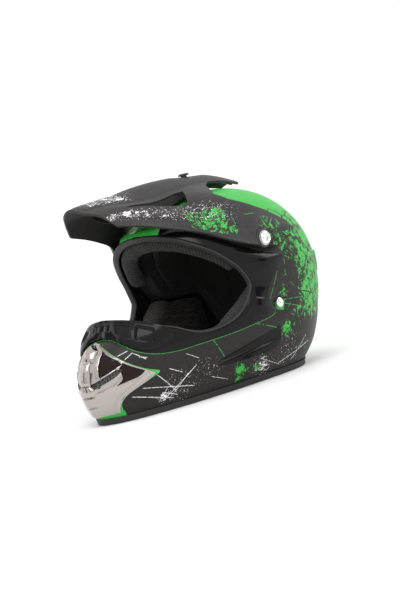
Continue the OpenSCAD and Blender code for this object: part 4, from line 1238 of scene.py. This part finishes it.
def build_pads():
    # Crown pad, with sewn channels from front to back
    A, Z = dome_grid(PAD_LOW, 34, 120)
    crown = sheet("crown_padding", skin(A, Z, 34.4), skin(A, Z, 39.6), wrap=True)
    puff(crown, 0.005, 1.6)
    seams = lambda P, N: np.max([smooth(2.2, 0.4, np.abs(np.abs(P[:, 0]) - c)) for c in (22, 52)], axis=0)
    finish_pad(crown, seams, 1.2)
    dress(crown, "cloth", stands_for=("crown_pad",))
    # Brow pad, ribbed across
    profile = rounded([[0.4, 8.6], [-3.4, 9.8], [-4.8, 14], [-3.4, 24], [0.4, 31], [5, 33], [9.6, 29.5],
                       [9.6, 9.6], [7.6, 8.8], [3.4, 8.6]], 2)
    brow = tube("brow_padding", edge_rings(np.linspace(0.318, 0.682, 130), profile))
    puff(brow, 0.004, 1.2)
    ribs = lambda P: head_angle(P) * 3.4
    grooves = lambda P, N: smooth(0.3, -0.9, np.sin(head_angle(P) * 3.4)) * 1.0
    finish_pad(brow, grooves, 0.6, ("rib", ribs))
    dress(brow, "ribs", stands_for=("brow_pad",))
    # Cheek pads
    for side, label in ((1, "left"), (-1, "right")):
        I, J = to_grid(np.linspace(0, 9, 46), np.linspace(0, 7, 36))
        a = 60 + 50 * I / 9
        low_top = look(PORT_LOW, np.minimum(a, 70)) - 4
        top = np.where(a < 70, low_top, look(CHEEK_TOP, np.maximum(a, 70)))
        z = 30 + (top - 30) * J / 7
        outer = look(CHEEK_OUTER, z)
        bulge = np.sin(np.pi * (I + 0.8) / 10.6) * np.sin(np.pi * (J + 0.9) / 8.8)
        inner = np.maximum(outer + 8, 23 + 26 * bulge ** 0.45)
        P, Q = under(a, z, outer + 1.4), under(a, z, inner - 1.6)
        P[..., 0] *= side
        Q[..., 0] *= side
        cheek = sheet("cheek_padding_" + label, P, Q)
        puff(cheek, 0.0045, 1.6)
        finish_pad(cheek, cheek_seam, 1.5)
        dress(cheek, "comb", stands_for=("cheek_pad_" + label,))
    # Neck roll
    t = np.linspace(0, 2 * np.pi, 26, endpoint=False)
    rings = []
    for a in np.linspace(125, 235, 90):
        q = np.array([skin(a, 29 + 11.4 * np.sin(k), 18 + 10.8 * np.cos(k)) for k in t])
        q[:, 2] = 29 + 11.4 * np.sin(t)
        rings.append(q)
    roll = tube("neck_padding", rings)
    puff(roll, 0.005, 1.2)
    seam = lambda P, N: smooth(1.4, 0.2, np.abs(P[:, 2] - 33)) * (np.abs(N[:, 2]) < 0.6)
    finish_pad(roll, seam, 1.0)
    dress(roll, "cloth", stands_for=("neck_roll",))


def cheek_seam(P, N):
    """One channel sunk across the cheek pad's inner and outer faces."""
    a = np.abs(head_angle(P))
    line = np.abs(P[:, 2] - (60 + 0.25 * (a - 85)))
    return smooth(1.8, 0.3, line) * smooth(0.2, 0.6, np.abs(N[:, 0])) * 0.9


# ---- Chin strap ----

def webbing(name, path, side, body, node):
    n = 150
    t = np.linspace(0, 1, n)
    p = through(path, t)
    d = unit(through(path, np.minimum(1, t + 0.01)) - through(path, np.maximum(0, t - 0.01)))
    s = np.stack([d[:, 1], -d[:, 0]], 1)
    w, h = 11.0, 0.9
    section = [[-w, 0.5], [-w, -0.5], [-w + 0.6, -h]] + [[x, -h] for x in np.linspace(-w + 2, w - 2, 9)]
    section += [[w - 0.6, -h], [w, -0.5], [w, 0.5], [w - 0.6, h]]
    section += [[x, h] for x in np.linspace(w - 2, -w + 2, 9)] + [[-w + 0.6, h]]
    section = np.asarray(section)
    rings = np.stack([np.stack([side * (p[:, 0] + s[:, 0] * q[1]), np.full(n, ANCHOR[0] + q[0]),
                                p[:, 1] + s[:, 1] * q[1]], -1) for q in section], 1)
    run = np.concatenate([[0], np.cumsum(np.linalg.norm(np.diff(p, axis=0), axis=1))])
    along = np.repeat(run[:, None], len(section), 1) * 3.2
    across = np.repeat(section[None, :, 0], n, 0) * 3.2
    obj = tube(name, rings, attributes={"along": along, "across": across}, sharp=50)
    dress(obj, "web", body=body, stands_for=(node,))


def build_strap():
    webbing("strap_webbing_left", STRAP[:9], 1, "chin_strap", "strap_left")
    webbing("strap_webbing_right", STRAP + [[-20, 14.6], [-38, 15.8]], -1, "chin_strap", "strap_right")
    xs = np.linspace(-61, 1.5, 60)
    heights = look(np.array([[0, 12], [26, 12.5], [50, 14], [68, 18]], float), np.maximum(0, -xs))
    t = np.linspace(0, 2 * np.pi, 28, endpoint=False)
    rings = []
    for x, z in zip(xs, heights):
        k = min(1, 0.5 + 0.5 * math.sqrt(max(0, min(x + 62, 2 - x) / 8)))
        rings.append(np.stack([np.full(28, x), ANCHOR[0] + power(np.cos(t), 0.5) * 13 * k,
                               z + power(np.sin(t), 0.7) * 3.2 * k], -1))
    pad = tube("strap_sleeve", rings)
    puff(pad, 0.004, 0.7, 2.0)
    finish_pad(pad, lambda P, N: smooth(1.2, 0.2, np.abs(np.abs(P[:, 1] - ANCHOR[0]) - 9.5)), 0.5)
    dress(pad, "cloth", body="chin_strap", stands_for=("strap_pad",))


# ---- Build ----

build_shell()
build_trims()
build_surround()
build_deflector()
build_guard()
build_spine()
build_side_vent()
build_rear_vent()
build_peak()
build_fasteners()
build_impact_liner()
build_pads()
build_strap()
make_set()
make_camera()
